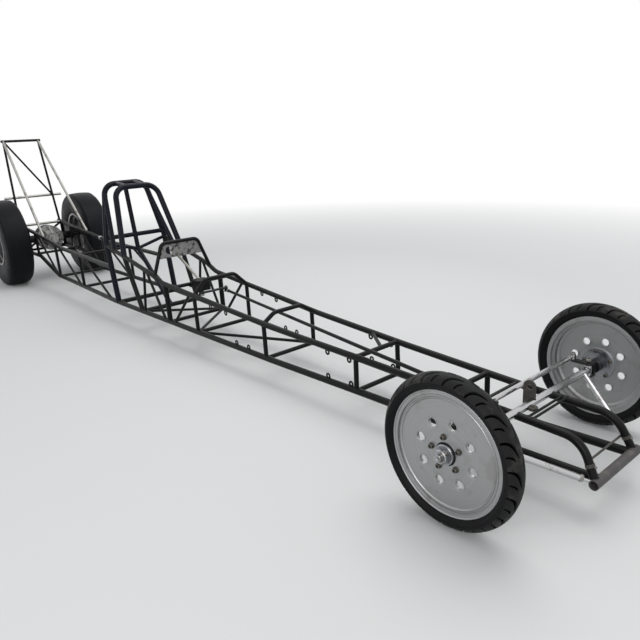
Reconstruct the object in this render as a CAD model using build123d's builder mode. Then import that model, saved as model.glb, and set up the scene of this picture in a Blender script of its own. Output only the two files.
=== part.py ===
# Rear-engined drag racing car as a bare rolling chassis: welded tube frame, roll cage,
# wing stand, steered front wheels and two wide slicks on one solid rear axle.
# Millimetres. +X is forward, +Y is the driver's left, +Z is up, the ground is Z = 0 and
# the origin lies on the ground at the middle of the car's outline.
import os

from build123d import *

# Stance
WHEELBASE = 5720.0
FRONT_HALF_TRACK = 535.0
REAR_HALF_TRACK = 393.0
NOSE_REACH = 350.0          # front axle to the centre of the nose tube
REAR_OVERHANG = 220.0       # rear axle to the ends of the rails

# Wheels
FRONT_TYRE_RADIUS = 288.0
FRONT_TYRE_WIDTH = 90.0
FRONT_TYRE_WALL = 8.0
FRONT_FLANGE_RADIUS = 232.0
FRONT_FLANGE_HEIGHT = 14.0
FRONT_WELL_DEPTH = 14.0
FRONT_RIM_WIDTH = 55.0
FRONT_WELL_HALF = 9.0       # half width of the well's floor
FRONT_WELL_SLOPE = 4.0      # width of each sloping side of the well
SLICK_RADIUS = 419.0
SLICK_WIDTH = 240.0
SLICK_SHOULDER = 21.0       # drop from the tread's middle to the top of the sidewall
SLICK_CROWN = 6.0           # drop from the tread's middle to its edge
SLICK_TREAD = 14.0          # rubber under the tread
SLICK_FLANGE_RADIUS = 212.0
SLICK_FLANGE_HEIGHT = 12.0
SLICK_WELL_DEPTH = 18.0
SLICK_RIM_WIDTH = 214.0
SLICK_WALL = 12.0
SLICK_WELL_HALF = 60.0
SLICK_WELL_SLOPE = 8.0
WELL_SKIN = 3.0             # the well's inner corners lie this much further out
RIM_SHEET = 5.0

# Tube diameters
LOWER_TUBE = 35.0
UPPER_TUBE = 32.0
BAY_TUBE = 35.0
CAGE_TUBE = 41.0
POST_TUBE = 25.0
THICK_POST_TUBE = 34.0
BRACE_TUBE = 19.0
NOSE_TUBE = 38.0
NOSE_WALL = 3.0
WING_TUBE = 25.0
WING_STRUT_TUBE = 22.0
WING_BRACE_TUBE = 24.0
DASH_TUBE = 25.0
AXLE_TUBE = 32.0

# Front axle and steering
KINGPIN_Y = 455.0
KINGPIN_RADIUS = 8.0
EYE_RADIUS = 17.0
EYE_HEIGHT = 46.0
PIN_FIT = 0.05              # radial running clearance of every pin
FACE_GAP = 0.3              # end clearance of every pin joint
EAR = 10.0                  # thickness of the spindle's ears and arms
STUB_RADIUS = 12.0
TIE_ARM_REACH = 75.0        # tie rod behind the kingpins
TIE_ROD_DIAMETER = 22.0
LINK_ARM_REACH = 185.0      # steering arm and pitman arm, pivot to ball joint
DRAG_LINK_DIAMETER = 19.0
ROD_END_RADIUS = 14.0
ROD_END_HEIGHT = 22.0
ROD_END_SHANK = 42.0        # rod end's centre to the end of the rod's tube
SHANK_DIAMETER = 14.0
JOINT_PIN_RADIUS = 6.0
LINK_ARM_BASE = 353.0       # underside of the steering arm
PITMAN_AHEAD = 3250.0       # pitman pivot ahead of the rear axle
PITMAN_BASE = 345.0         # underside of the pitman arm
STEER_BOX = (95.0, 95.0, 70.0)

FRONT_BEAD_RADIUS = FRONT_FLANGE_RADIUS - FRONT_FLANGE_HEIGHT
FRONT_WELL_RADIUS = FRONT_BEAD_RADIUS - FRONT_WELL_DEPTH
SLICK_BEAD_RADIUS = SLICK_FLANGE_RADIUS - SLICK_FLANGE_HEIGHT
SLICK_WELL_RADIUS = SLICK_BEAD_RADIUS - SLICK_WELL_DEPTH
FRONT_X = (WHEELBASE + SLICK_RADIUS - NOSE_REACH - NOSE_TUBE / 2) / 2
REAR_X = FRONT_X - WHEELBASE
RAIL_END = WHEELBASE + REAR_OVERHANG
REAR_CROSS = RAIL_END - 75
SIDES = {"right": -1, "left": 1}


def ahead(distance):
    """A place behind the front axle, given by its distance ahead of the rear axle."""
    return WHEELBASE - distance


# Rails: (behind the front axle, half width, height)
NOSE_BEND = -NOSE_REACH
LOWER_LINE = [
    (NOSE_BEND + 12, 128, 140),
    (20, 128, 130),
    (810, 148, 130),
    (1540, 174, 130),
    (ahead(2200), 240, 152),
    (ahead(1120), 215, 160),
    (ahead(830), 211, 160),
    (ahead(340), 204, 290),
    (RAIL_END, 200, 290),
]
UPPER_LINE = [
    (NOSE_BEND + 5, 152, 138),
    (NOSE_BEND + 75, 134, 272),
    (50, 128, FRONT_TYRE_RADIUS - 8),
    (810, 145, 305),
    (1540, 174, 332),
    (ahead(2990), 215, 413),
    (ahead(2860), 222, 458),
    (ahead(2200), 240, 590),
]
UPPER_BENDS = (115, 400, 400, 400, 200, 200)     # one for each inner point
BAY_LINE = [
    (ahead(2220), 240, 425),
    (ahead(1050), 214, 443),
    (ahead(640), 209, 485),
    (RAIL_END, 200, 556),
]


def line_at(line, back):
    """Half width and height of a rail at a distance behind the front axle."""
    for (b0, w0, z0), (b1, w1, z1) in zip(line, line[1:]):
        if b0 <= back <= b1:
            t = (back - b0) / (b1 - b0)
            return w0 + t * (w1 - w0), z0 + t * (z1 - z0)
    raise ValueError(back)


def at(back, y, z):
    return Vector(FRONT_X - back, y, z)


def on_rail(line, back, side):
    half, z = line_at(line, back)
    return at(back, side * half, z)


def tube(diameter, *points, wall=0.0):
    """A round tube along straight runs, mitred where they meet."""
    start, following = Vector(points[0]), Vector(points[1])
    with BuildPart() as run:
        with BuildLine() as path:
            Polyline(*points)
        with BuildSketch(Plane(origin=start, z_dir=following - start)):
            Circle(diameter / 2)
            if wall:
                Circle(diameter / 2 - wall, mode=Mode.SUBTRACT)
        sweep(path=path.line, transition=Transition.RIGHT)
    return run.part


def bent_tube(diameter, radii, *points):
    """A round tube along straight runs joined by bends of the given radii."""
    start, following = Vector(points[0]), Vector(points[1])
    with BuildPart() as run:
        with BuildLine() as path:
            FilletPolyline(*points, radius=radii)
        with BuildSketch(Plane(origin=start, z_dir=following - start)):
            Circle(diameter / 2)
        sweep(path=path.line)
    return run.part


def cope(pieces, *cutters):
    """Join the pieces that touch and cut the tubes they are welded to out of them."""
    with BuildPart() as coped:
        for piece in pieces:
            add(piece)
        for cutter in cutters:
            add(cutter, mode=Mode.SUBTRACT)
    return coped.part


def save(part, name):
    part.label = name
    export_step(part, f"parts/{name}.step")


def both(line, diameter):
    return {
        name: tube(diameter, *[at(b, side * w, z) for b, w, z in line])
        for name, side in SIDES.items()
    }


os.makedirs("parts", exist_ok=True)

# Nose tube, open at both ends
NOSE_HALF = 176.0
NOSE_HEIGHT = 138.0
nose_line = [at(-NOSE_REACH, -NOSE_HALF, NOSE_HEIGHT), at(-NOSE_REACH, NOSE_HALF, NOSE_HEIGHT)]
nose_solid = tube(NOSE_TUBE, *nose_line)
nose_tube = tube(NOSE_TUBE, *nose_line, wall=NOSE_WALL)
save(nose_tube, "nose_tube")

# Main rails
lower = both(LOWER_LINE, LOWER_TUBE)
upper = {name: bent_tube(UPPER_TUBE, UPPER_BENDS, *[at(b, side * w, z) for b, w, z in UPPER_LINE])
         for name, side in SIDES.items()}
bay = both(BAY_LINE, BAY_TUBE)

# Roll cage. The rear hoop leans back from the lower rails; its outline is in its own plane.
REAR_HOOP_LEAN = 0.135
REAR_HOOP_FOOT = ahead(2270)
HOOP_TOP = 1040.0
HOOP_BEND = 95.0
REAR_HOOP_WAIST_BEND = 260.0
REAR_HOOP = [(240, 152), (240, 610), (160, HOOP_TOP)]
FRONT_HOOP_LEAN = 0.314
FRONT_HOOP_BACK = ahead(2468)
FRONT_HOOP_TOP = 1022.0


def rear_hoop_point(y, z):
    return at(REAR_HOOP_FOOT + REAR_HOOP_LEAN * z, y, z)


front_base = line_at(UPPER_LINE, FRONT_HOOP_BACK)


def front_hoop_point(y, z):
    return at(FRONT_HOOP_BACK + FRONT_HOOP_LEAN * (z - front_base[1]), y, z)


rear_outline = [rear_hoop_point(y, z) for y, z in REAR_HOOP]
rear_outline += [rear_hoop_point(-y, z) for y, z in reversed(REAR_HOOP)]
rear_hoop_raw = bent_tube(CAGE_TUBE, (REAR_HOOP_WAIST_BEND, HOOP_BEND, HOOP_BEND, REAR_HOOP_WAIST_BEND),
                          *rear_outline)
front_outline = [front_hoop_point(y, z) for y, z in (
    (front_base[0], front_base[1]), (160, FRONT_HOOP_TOP), (-160, FRONT_HOOP_TOP),
    (-front_base[0], front_base[1]))]
front_hoop_raw = bent_tube(CAGE_TUBE, (HOOP_BEND, HOOP_BEND), *front_outline)

for name in SIDES:
    save(cope([lower[name]], nose_solid), f"lower_rail_{name}")
    upper[name] = cope([upper[name]], nose_solid, lower[name], rear_hoop_raw)
    save(upper[name], f"upper_rail_{name}")
    bay[name] = cope([bay[name]], rear_hoop_raw)
    save(bay[name], f"bay_rail_{name}")
rear_hoop = cope([rear_hoop_raw], *lower.values())
save(rear_hoop, "rear_hoop")
front_hoop = cope([front_hoop_raw], *upper.values())
save(front_hoop, "front_hoop")
print("rails and hoops", [round(p.volume / 1000) for p in (rear_hoop, front_hoop)])

# Side posts: (behind the front axle at the top, same at the foot, diameter)
SEAT_BACK = ahead(2640)
SIDE_POSTS = [
    (310, 310, POST_TUBE),
    (873, 873, POST_TUBE),
    (1596, 1596, POST_TUBE),
    (ahead(3400), ahead(3400), POST_TUBE),
    (ahead(3040), ahead(3040), THICK_POST_TUBE),
    (FRONT_HOOP_BACK, SEAT_BACK, THICK_POST_TUBE),
]
# Side braces: (top, foot, diameter), both behind the front axle
SIDE_BRACES = [
    (ahead(3350), ahead(3100), BRACE_TUBE),
    (ahead(2790), ahead(2980), BRACE_TUBE),
    (ahead(2760), ahead(2680), BRACE_TUBE),
]
BAY_CROSS = ahead(1490)
BAY_POSTS = [
    (BAY_CROSS, BAY_CROSS, POST_TUBE),
    (ahead(860), ahead(860), POST_TUBE),
    (ahead(290), ahead(290), POST_TUBE),
    (REAR_CROSS, REAR_CROSS, THICK_POST_TUBE),
]
BAY_BRACES = [
    (ahead(1560), ahead(2110), BRACE_TUBE),
    (ahead(930), ahead(1420), BRACE_TUBE),
    (ahead(350), ahead(790), BRACE_TUBE),
]

posts = {}
bay_frames = {}
for name, side in SIDES.items():
    runs = [tube(d, on_rail(UPPER_LINE, top, side), on_rail(LOWER_LINE, foot, side))
            for top, foot, d in SIDE_POSTS]
    posts[name] = cope(runs, upper[name], lower[name], front_hoop_raw)
    save(posts[name], f"side_posts_{name}")
    braces = [tube(d, on_rail(UPPER_LINE, top, side), on_rail(LOWER_LINE, foot, side))
              for top, foot, d in SIDE_BRACES]
    save(cope(braces, upper[name], lower[name], posts[name]), f"side_braces_{name}")
    runs = [tube(d, on_rail(BAY_LINE, top, side), on_rail(LOWER_LINE, foot, side))
            for top, foot, d in BAY_POSTS]
    runs += [tube(d, on_rail(BAY_LINE, top, side), on_rail(LOWER_LINE, foot, side))
             for top, foot, d in BAY_BRACES]
    bay_frames[name] = cope(runs, bay[name], lower[name], rear_hoop_raw)
    save(bay_frames[name], f"bay_posts_{name}")

# Belly: cross tubes between the lower rails, then braces that zigzag between them
BELLY_CROSS = [
    (873, POST_TUBE),
    (1596, POST_TUBE),
    (ahead(3400), POST_TUBE),
    (ahead(3040), POST_TUBE),
    (SEAT_BACK, THICK_POST_TUBE),
    (ahead(2245), THICK_POST_TUBE),
    (BAY_CROSS, POST_TUBE),
    (ahead(860), POST_TUBE),
    (ahead(165), POST_TUBE),
    (REAR_CROSS, POST_TUBE),
]
BELLY_BRACES = [(1596, ahead(3400)), (ahead(3400), ahead(3040)), (ahead(3040), SEAT_BACK)]
lower_pair = [lower["right"], lower["left"], rear_hoop_raw]
crosses = [tube(d, on_rail(LOWER_LINE, b, -1), on_rail(LOWER_LINE, b, 1)) for b, d in BELLY_CROSS]
side = 1
for start, end in BELLY_BRACES:
    crosses.append(tube(BRACE_TUBE, on_rail(LOWER_LINE, start, side), on_rail(LOWER_LINE, end, -side)))
    side = -side
belly = cope(crosses, *lower_pair, *posts.values(), *bay_frames.values())
save(belly, "belly_tubes")

# Tubes across the top: straight ones, and hoops that arch over the driver's legs
TOP_CROSS = [
    (154, POST_TUBE),
    (310, POST_TUBE),
    (873, POST_TUBE),
]
# Thin stays at the nose: (behind the front axle, above the rails' middle, diameter)
NOSE_STAYS = [
    (-77, 11, 11),
    (-56, 11, 11),
    (NOSE_BEND + 52, -38, 9),
]
ARCHES = [
    (1596, 50, POST_TUBE),
    (ahead(3400), 90, POST_TUBE),
]
ARCH_BEND = 60.0
ARCH_SHOULDER = 0.55        # where an arch turns level, as a share of the rail's half width
STEER_CROSS_BACK = ahead(3145)
tops = [tube(d, on_rail(UPPER_LINE, b, -1), on_rail(UPPER_LINE, b, 1)) for b, d in TOP_CROSS]
tops.append(tube(BRACE_TUBE, on_rail(UPPER_LINE, 873, 0.2), on_rail(UPPER_LINE, 1060, 1)))
for back, lift, diameter in NOSE_STAYS:
    ends = [on_rail(UPPER_LINE, back, side) + Vector(0, 0, lift) for side in SIDES.values()]
    tops.append(tube(diameter, *ends))
for back, rise, diameter in ARCHES:
    half, z = line_at(UPPER_LINE, back)
    shoulder_half = half * ARCH_SHOULDER
    tops.append(bent_tube(diameter, (ARCH_BEND, ARCH_BEND), at(back, -half, z),
                          at(back, -shoulder_half, z + rise), at(back, shoulder_half, z + rise),
                          at(back, half, z)))
tops.append(tube(POST_TUBE, on_rail(UPPER_LINE, STEER_CROSS_BACK, -1),
                 on_rail(UPPER_LINE, STEER_CROSS_BACK, 1)))
top_tubes = cope(tops, upper["right"], upper["left"], posts["right"], posts["left"])
save(top_tubes, "top_tubes")

# Rear frame: cross tubes behind the axle
rear_lines = [
    tube(POST_TUBE, on_rail(BAY_LINE, REAR_CROSS, -1), on_rail(BAY_LINE, REAR_CROSS, 1)),
    tube(POST_TUBE, on_rail(BAY_LINE, BAY_CROSS, -1), on_rail(BAY_LINE, BAY_CROSS, 1)),
    tube(BRACE_TUBE, on_rail(BAY_LINE, REAR_CROSS, -1), on_rail(LOWER_LINE, REAR_CROSS, 1)),
    tube(WING_STRUT_TUBE, on_rail(BAY_LINE, REAR_CROSS, 1), on_rail(LOWER_LINE, REAR_CROSS, -1)),
]
rear_cross = cope(rear_lines, *bay.values(), *bay_frames.values(), *lower.values(), belly)
save(rear_cross, "rear_cross_tubes")

# Cage bars: centre upright, shoulder bar, braces to the upright's knee, side struts
SHOULDER_HEIGHT = 645.0
KNEE_HEIGHT = 534.0
KNEE_BAR_TOP = 598.0
STRUT_TOP = 975.0
STRUT_BACK = ahead(2320)
TIE_HALF = 70.0
KNEE = rear_hoop_point(0, KNEE_HEIGHT)
SEAT_FOOT = on_rail(LOWER_LINE, SEAT_BACK, 0)
hoop_waist = REAR_HOOP[0][0]
hoop_top_half = REAR_HOOP[-1][0]
upright = tube(THICK_POST_TUBE, rear_hoop_point(0, HOOP_TOP), KNEE, SEAT_FOOT)
shoulder = tube(THICK_POST_TUBE, rear_hoop_point(-hoop_waist, SHOULDER_HEIGHT),
                rear_hoop_point(hoop_waist, SHOULDER_HEIGHT))
knee_bars = [tube(POST_TUBE, KNEE, rear_hoop_point(side * hoop_waist, KNEE_BAR_TOP))
             for side in SIDES.values()]
struts = [tube(THICK_POST_TUBE, rear_hoop_point(side * (hoop_top_half + 12), STRUT_TOP),
               on_rail(UPPER_LINE, STRUT_BACK, side))
          for side in SIDES.values()]
ties = [tube(THICK_POST_TUBE, rear_hoop_point(side * TIE_HALF, HOOP_TOP),
             front_hoop_point(side * TIE_HALF, FRONT_HOOP_TOP))
        for side in SIDES.values()]
cage_bars = cope([upright, shoulder, *knee_bars, *struts, *ties], rear_hoop, front_hoop,
                 upper["right"], upper["left"], belly)
save(cage_bars, "cage_bars")

PITMAN_BACK = ahead(PITMAN_AHEAD)

# Dash hoop and its sheet panel
DASH_BACK = ahead(2905)
DASH_TOP = 662.0
DASH_HALF = 138.0
PANEL_SHEET = 3.0
PANEL_BOTTOM = 556.0
dash_foot = line_at(UPPER_LINE, DASH_BACK)
dash_outline = [at(DASH_BACK, s * w, z) for s, w, z in (
    (-1, dash_foot[0], dash_foot[1]), (-1, DASH_HALF, DASH_TOP),
    (1, DASH_HALF, DASH_TOP), (1, dash_foot[0], dash_foot[1]))]
dash_raw = bent_tube(DASH_TUBE, (45, 45), *dash_outline)
dash_hoop = cope([dash_raw], upper["right"], upper["left"])
save(dash_hoop, "dash_hoop")
GAUGE_RADIUS = 27.0
SHAFT_TOP = at(DASH_BACK + 70, -30, 607)
SHAFT_FOOT = at(PITMAN_BACK + 55, -45, 442)
SHAFT_DIAMETER = 19.0
steering_shaft_run = tube(SHAFT_DIAMETER, SHAFT_TOP, SHAFT_FOOT)
with BuildPart() as dash_panel:
    with BuildSketch(Plane(origin=at(DASH_BACK, 0, 0), x_dir=(0, 1, 0), z_dir=(1, 0, 0))):
        slope = (dash_foot[0] - DASH_HALF) / (DASH_TOP - dash_foot[1])
        low_half = DASH_HALF + slope * (DASH_TOP - PANEL_BOTTOM)
        Polygon((-low_half, PANEL_BOTTOM), (low_half, PANEL_BOTTOM), (DASH_HALF, DASH_TOP),
                (-DASH_HALF, DASH_TOP), align=None)
        with Locations((-0.62 * DASH_HALF, 608)):
            Circle(GAUGE_RADIUS, mode=Mode.SUBTRACT)
    extrude(amount=PANEL_SHEET / 2, both=True)
    add(dash_hoop, mode=Mode.SUBTRACT)
    with BuildSketch(Plane(origin=SHAFT_TOP, z_dir=SHAFT_FOOT - SHAFT_TOP)):
        Circle(SHAFT_DIAMETER / 2)
    extrude(amount=(SHAFT_FOOT - SHAFT_TOP).length, mode=Mode.SUBTRACT)
save(dash_panel.part, "dash_panel")
print("frame done")

# Front axle: a tube between the upper rails and one out from each to a kingpin eye, and rods
# down to the nose
AXLE_Z = FRONT_TYRE_RADIUS
EYE_LOW = AXLE_Z - EYE_HEIGHT / 2
EYE_TOP = AXLE_Z + EYE_HEIGHT / 2
RADIUS_ROD = 25.0
RADIUS_ROD_SHANK = 14.0
SHANK_REACH = 62.0          # bare threaded end of a radius rod, at the nose
ROD_START_Y = 412.0
ROD_END_Y = 155.0
with BuildPart() as front_axle:
    add(tube(AXLE_TUBE, at(0, -KINGPIN_Y, AXLE_Z), at(0, KINGPIN_Y, AXLE_Z)))
    add([upper["right"], upper["left"]], mode=Mode.SUBTRACT)
    for side in SIDES.values():
        with BuildSketch(Plane(origin=at(0, side * KINGPIN_Y, EYE_LOW))):
            Circle(EYE_RADIUS)
        extrude(amount=EYE_HEIGHT)
    for side in SIDES.values():
        with BuildSketch(Plane(origin=at(0, side * KINGPIN_Y, EYE_LOW))):
            Circle(KINGPIN_RADIUS + PIN_FIT)
        extrude(amount=EYE_HEIGHT, mode=Mode.SUBTRACT)
save(front_axle.part, "front_axle")
rods = []
for side in SIDES.values():
    rod_start = at(0, side * ROD_START_Y, AXLE_Z)
    rod_end = at(-NOSE_REACH, side * ROD_END_Y, NOSE_HEIGHT)
    rods.append(tube(RADIUS_ROD, rod_start, rod_end + (rod_start - rod_end).normalized() * SHANK_REACH))
    rods.append(tube(RADIUS_ROD_SHANK, rod_start, rod_end))
save(cope(rods, front_axle.part, nose_solid, upper["right"], upper["left"]), "radius_rods")

# Upright tab with a round eye on the axle's middle, and a flat lug ahead of it
TAB_SHEET = 8.0
TAB_TOP = 358.0
TAB_BACK = 18.0
TAB_HALF = 27.0
TAB_CROWN = 20.0
TAB_EYE_RADIUS = 13.0
TAB_EYE_DROP = 7.0
LUG_RADIUS = 19.0
LUG_HOLE_RADIUS = 6.5
LUG_SHEET = 12.0
LUG_AHEAD = 30.0
LUG_Y = -50.0
with BuildPart() as axle_tab:
    tab_rise = TAB_TOP - AXLE_Z
    with BuildSketch(Plane(origin=at(TAB_BACK, TAB_SHEET / 2, AXLE_Z), x_dir=(1, 0, 0), z_dir=(0, -1, 0))):
        with BuildLine():
            Polyline((-TAB_HALF, tab_rise), (-TAB_HALF, -TAB_CROWN), (TAB_HALF, -TAB_CROWN),
                     (TAB_HALF, tab_rise))
            ThreePointArc((TAB_HALF, tab_rise), (0, tab_rise + TAB_CROWN), (-TAB_HALF, tab_rise))
        make_face()
        with Locations((0, tab_rise - TAB_EYE_DROP)):
            Circle(TAB_EYE_RADIUS, mode=Mode.SUBTRACT)
    extrude(amount=TAB_SHEET)
    with BuildSketch(Plane(origin=at(-LUG_AHEAD, LUG_Y, AXLE_Z - LUG_SHEET / 2))):
        Circle(LUG_RADIUS)
        Circle(LUG_HOLE_RADIUS, mode=Mode.SUBTRACT)
    extrude(amount=LUG_SHEET)
    add(front_axle.part, mode=Mode.SUBTRACT)
save(axle_tab.part, "axle_tab")

# Spindles: kingpin, yoke round the eye, stub axle and steering arms
EAR_LOW = EYE_LOW - FACE_GAP - EAR
EAR_TOP = EYE_TOP + FACE_GAP
WEB_INNER = EYE_RADIUS + 5
WEB = 12.0
YOKE_WIDTH = 36.0
HUB_INNER_W = -30.0         # hub ends, measured out from the wheel's middle
HUB_BORE_END_W = 50.0
ARM_WIDTH = 26.0
ROD_END_LOW = EAR_TOP + EAR + FACE_GAP
LINK_END_LOW = LINK_ARM_BASE + EAR + FACE_GAP


def arm(start, end, base, width=ARM_WIDTH, thickness=EAR):
    """A flat arm with round ends between two upright pins."""
    run = Vector(end) - Vector(start)
    middle = (Vector(start) + Vector(end)) * 0.5
    with BuildPart() as lever:
        with BuildSketch(Plane(origin=(middle.X, middle.Y, base), x_dir=(run.X, run.Y, 0))):
            SlotCenterToCenter(run.length, width)
        extrude(amount=thickness)
    return lever.part


def upright_pin(x, y, low, top, radius):
    with BuildPart() as pin:
        with BuildSketch(Plane(origin=(x, y, low))):
            Circle(radius)
        extrude(amount=top - low)
    return pin.part


spindles = {}
for name, side in SIDES.items():
    king = (FRONT_X, side * KINGPIN_Y)
    with BuildPart() as spindle:
        for base in (EAR_LOW, EAR_TOP):
            with BuildSketch(Plane(origin=(FRONT_X, side * KINGPIN_Y, base), x_dir=(0, side, 0))):
                Circle(YOKE_WIDTH / 2)
                with Locations(((WEB_INNER + WEB) / 2, 0)):
                    Rectangle(WEB_INNER + WEB, YOKE_WIDTH)
            extrude(amount=EAR)
        with BuildSketch(Plane(origin=(FRONT_X, side * (KINGPIN_Y + WEB_INNER), AXLE_Z),
                               x_dir=(1, 0, 0), z_dir=(0, side, 0))):
            Rectangle(YOKE_WIDTH, EAR_TOP + EAR - EAR_LOW)
        extrude(amount=WEB)
        with BuildSketch(Plane(origin=(FRONT_X, side * (KINGPIN_Y + WEB_INNER), AXLE_Z),
                               z_dir=(0, side, 0))):
            Circle(STUB_RADIUS)
        extrude(amount=FRONT_HALF_TRACK + HUB_BORE_END_W - FACE_GAP - KINGPIN_Y - WEB_INNER)
        with BuildSketch(Plane(origin=(FRONT_X, side * (KINGPIN_Y + WEB_INNER), AXLE_Z),
                               z_dir=(0, side, 0))):
            Circle(STUB_RADIUS + 5)
        extrude(amount=FRONT_HALF_TRACK + HUB_INNER_W - FACE_GAP - KINGPIN_Y - WEB_INNER)
        tie_x = FRONT_X - TIE_ARM_REACH
        add(arm((*king, 0), (tie_x, king[1], 0), EAR_TOP))
        add(upright_pin(tie_x, king[1], EAR_TOP, ROD_END_LOW + ROD_END_HEIGHT, JOINT_PIN_RADIUS))
        top = LINK_ARM_BASE + EAR if name == "right" else EAR_TOP + EAR + 8
        add(upright_pin(*king, EAR_LOW, top, KINGPIN_RADIUS))
        if name == "right":
            tip = (FRONT_X, king[1] + LINK_ARM_REACH)
            add(arm((*king, 0), (*tip, 0), LINK_ARM_BASE))
            add(upright_pin(*tip, LINK_ARM_BASE, LINK_END_LOW + ROD_END_HEIGHT, JOINT_PIN_RADIUS))
    spindles[name] = spindle.part
    save(spindle.part, f"spindle_{name}")


def link_rod(start, end, diameter):
    """A round rod between two upright rod ends on thin shanks, each bored for its pin."""
    reach = (end - start).normalized() * ROD_END_SHANK
    with BuildPart() as rod:
        add(tube(SHANK_DIAMETER, start, end))
        add(tube(diameter, start + reach, end - reach))
        for point in (start, end):
            with BuildSketch(Plane(origin=point - Vector(0, 0, ROD_END_HEIGHT / 2))):
                Circle(ROD_END_RADIUS)
            extrude(amount=ROD_END_HEIGHT)
        for point in (start, end):
            with BuildSketch(Plane(origin=point - Vector(0, 0, ROD_END_HEIGHT / 2))):
                Circle(JOINT_PIN_RADIUS + PIN_FIT)
            extrude(amount=ROD_END_HEIGHT, mode=Mode.SUBTRACT)
    return rod.part


tie_z = ROD_END_LOW + ROD_END_HEIGHT / 2
tie_rod = link_rod(at(TIE_ARM_REACH, -KINGPIN_Y, tie_z), at(TIE_ARM_REACH, KINGPIN_Y, tie_z),
                   TIE_ROD_DIAMETER)
save(tie_rod, "tie_rod")

# Steering box, pitman arm and drag link; the pitman arm stays parallel to the steering arm
PITMAN_Y = -57.0
pitman_tip = at(PITMAN_BACK, PITMAN_Y + LINK_ARM_REACH, 0)
link_front = at(0, -KINGPIN_Y + LINK_ARM_REACH, LINK_END_LOW + ROD_END_HEIGHT / 2)
link_rear = Vector(pitman_tip.X, pitman_tip.Y, PITMAN_BASE - FACE_GAP - ROD_END_HEIGHT / 2)
drag_link = link_rod(link_rear, link_front, DRAG_LINK_DIAMETER)
save(drag_link, "drag_link")
BOX_BASE = PITMAN_BASE + EAR + 20
BOX_CORNER = 18.0
BOX_BORE_DEPTH = 30.0
BOX_SHELF = (70.0, 12.0)    # width and thickness of the shelf out to the cross tube
SHAFT_STUB = 11.0
COUPLING_RADIUS = 20.0
COUPLING_LENGTH = 26.0
with BuildPart() as pitman_arm:
    add(arm(at(PITMAN_BACK, PITMAN_Y, 0), pitman_tip, PITMAN_BASE))
    add(upright_pin(FRONT_X - PITMAN_BACK, PITMAN_Y, PITMAN_BASE, BOX_BASE + BOX_BORE_DEPTH, SHAFT_STUB))
    add(upright_pin(pitman_tip.X, pitman_tip.Y, link_rear.Z - ROD_END_HEIGHT / 2, PITMAN_BASE + EAR,
                    JOINT_PIN_RADIUS))
save(pitman_arm.part, "pitman_arm")
steer_cross = line_at(UPPER_LINE, STEER_CROSS_BACK)
with BuildPart() as steering_box:
    with BuildSketch(Plane(origin=at(PITMAN_BACK, PITMAN_Y, BOX_BASE))):
        RectangleRounded(STEER_BOX[0], STEER_BOX[1], BOX_CORNER)
    extrude(amount=STEER_BOX[2])
    with BuildSketch(Plane(origin=at((PITMAN_BACK + STEER_CROSS_BACK) / 2, PITMAN_Y, steer_cross[1] - 19))):
        Rectangle(STEER_CROSS_BACK - PITMAN_BACK + BOX_SHELF[1], BOX_SHELF[0])
    extrude(amount=BOX_SHELF[1])
    with BuildSketch(Plane(origin=at(PITMAN_BACK, PITMAN_Y, BOX_BASE))):
        Circle(SHAFT_STUB + PIN_FIT)
    extrude(amount=BOX_BORE_DEPTH + FACE_GAP, mode=Mode.SUBTRACT)
    add(top_tubes, mode=Mode.SUBTRACT)
save(steering_box.part, "steering_box")
with BuildPart() as steering_shaft:
    add(tube(SHAFT_DIAMETER, SHAFT_TOP, SHAFT_FOOT + (SHAFT_FOOT - SHAFT_TOP).normalized() * 35))
    with BuildSketch(Plane(origin=SHAFT_TOP, z_dir=SHAFT_FOOT - SHAFT_TOP)):
        Circle(COUPLING_RADIUS)
    extrude(amount=COUPLING_LENGTH)
    add(steering_box.part, mode=Mode.SUBTRACT)
save(steering_shaft.part, "steering_shaft")
print("steering done")


def wheel_plane(centre, side):
    """Profile plane of a wheel: x runs out from its middle, y is the radius."""
    return Plane(origin=centre, x_dir=(0, side, 0), z_dir=(side, 0, 0))


HUB_FLANGE_RADIUS = 76.0
HUB_FLANGE = 8.0
DISC_FACE_W = 20.0          # outer face of the disc, which the hub's flange holds from behind
HUB_BARREL_RADIUS = 30.0
HUB_COLLAR_RADIUS = 38.0
HUB_COLLAR_W = 32.0
HUB_CAP_RADIUS = 27.0
HUB_CAP_W = 54.0
AXLE_NUT_RADIUS = 16.0
HUB_END_W = 66.0
DISC_HOLES = 8
DISC_HOLE_TURN = 31.0       # degrees from straight ahead to the first hole
DISC_HOLE_CIRCLE = 115.0
DISC_HOLE_RADIUS = 17.5
DISC_EDGE_RADIUS = FRONT_WELL_RADIUS - 6
DISC_LIP_W = 22.5           # where the disc's rolled edge meets the rim
DISC_BEND = 9.0
HALF_RIM = FRONT_RIM_WIDTH / 2
FLANGE_SHEET = 4.0
WELL_FOOT = FRONT_WELL_HALF + FRONT_WELL_SLOPE
INNER_BEAD_RADIUS = FRONT_BEAD_RADIUS - FLANGE_SHEET
INNER_WELL_RADIUS = FRONT_WELL_RADIUS - FLANGE_SHEET
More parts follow.
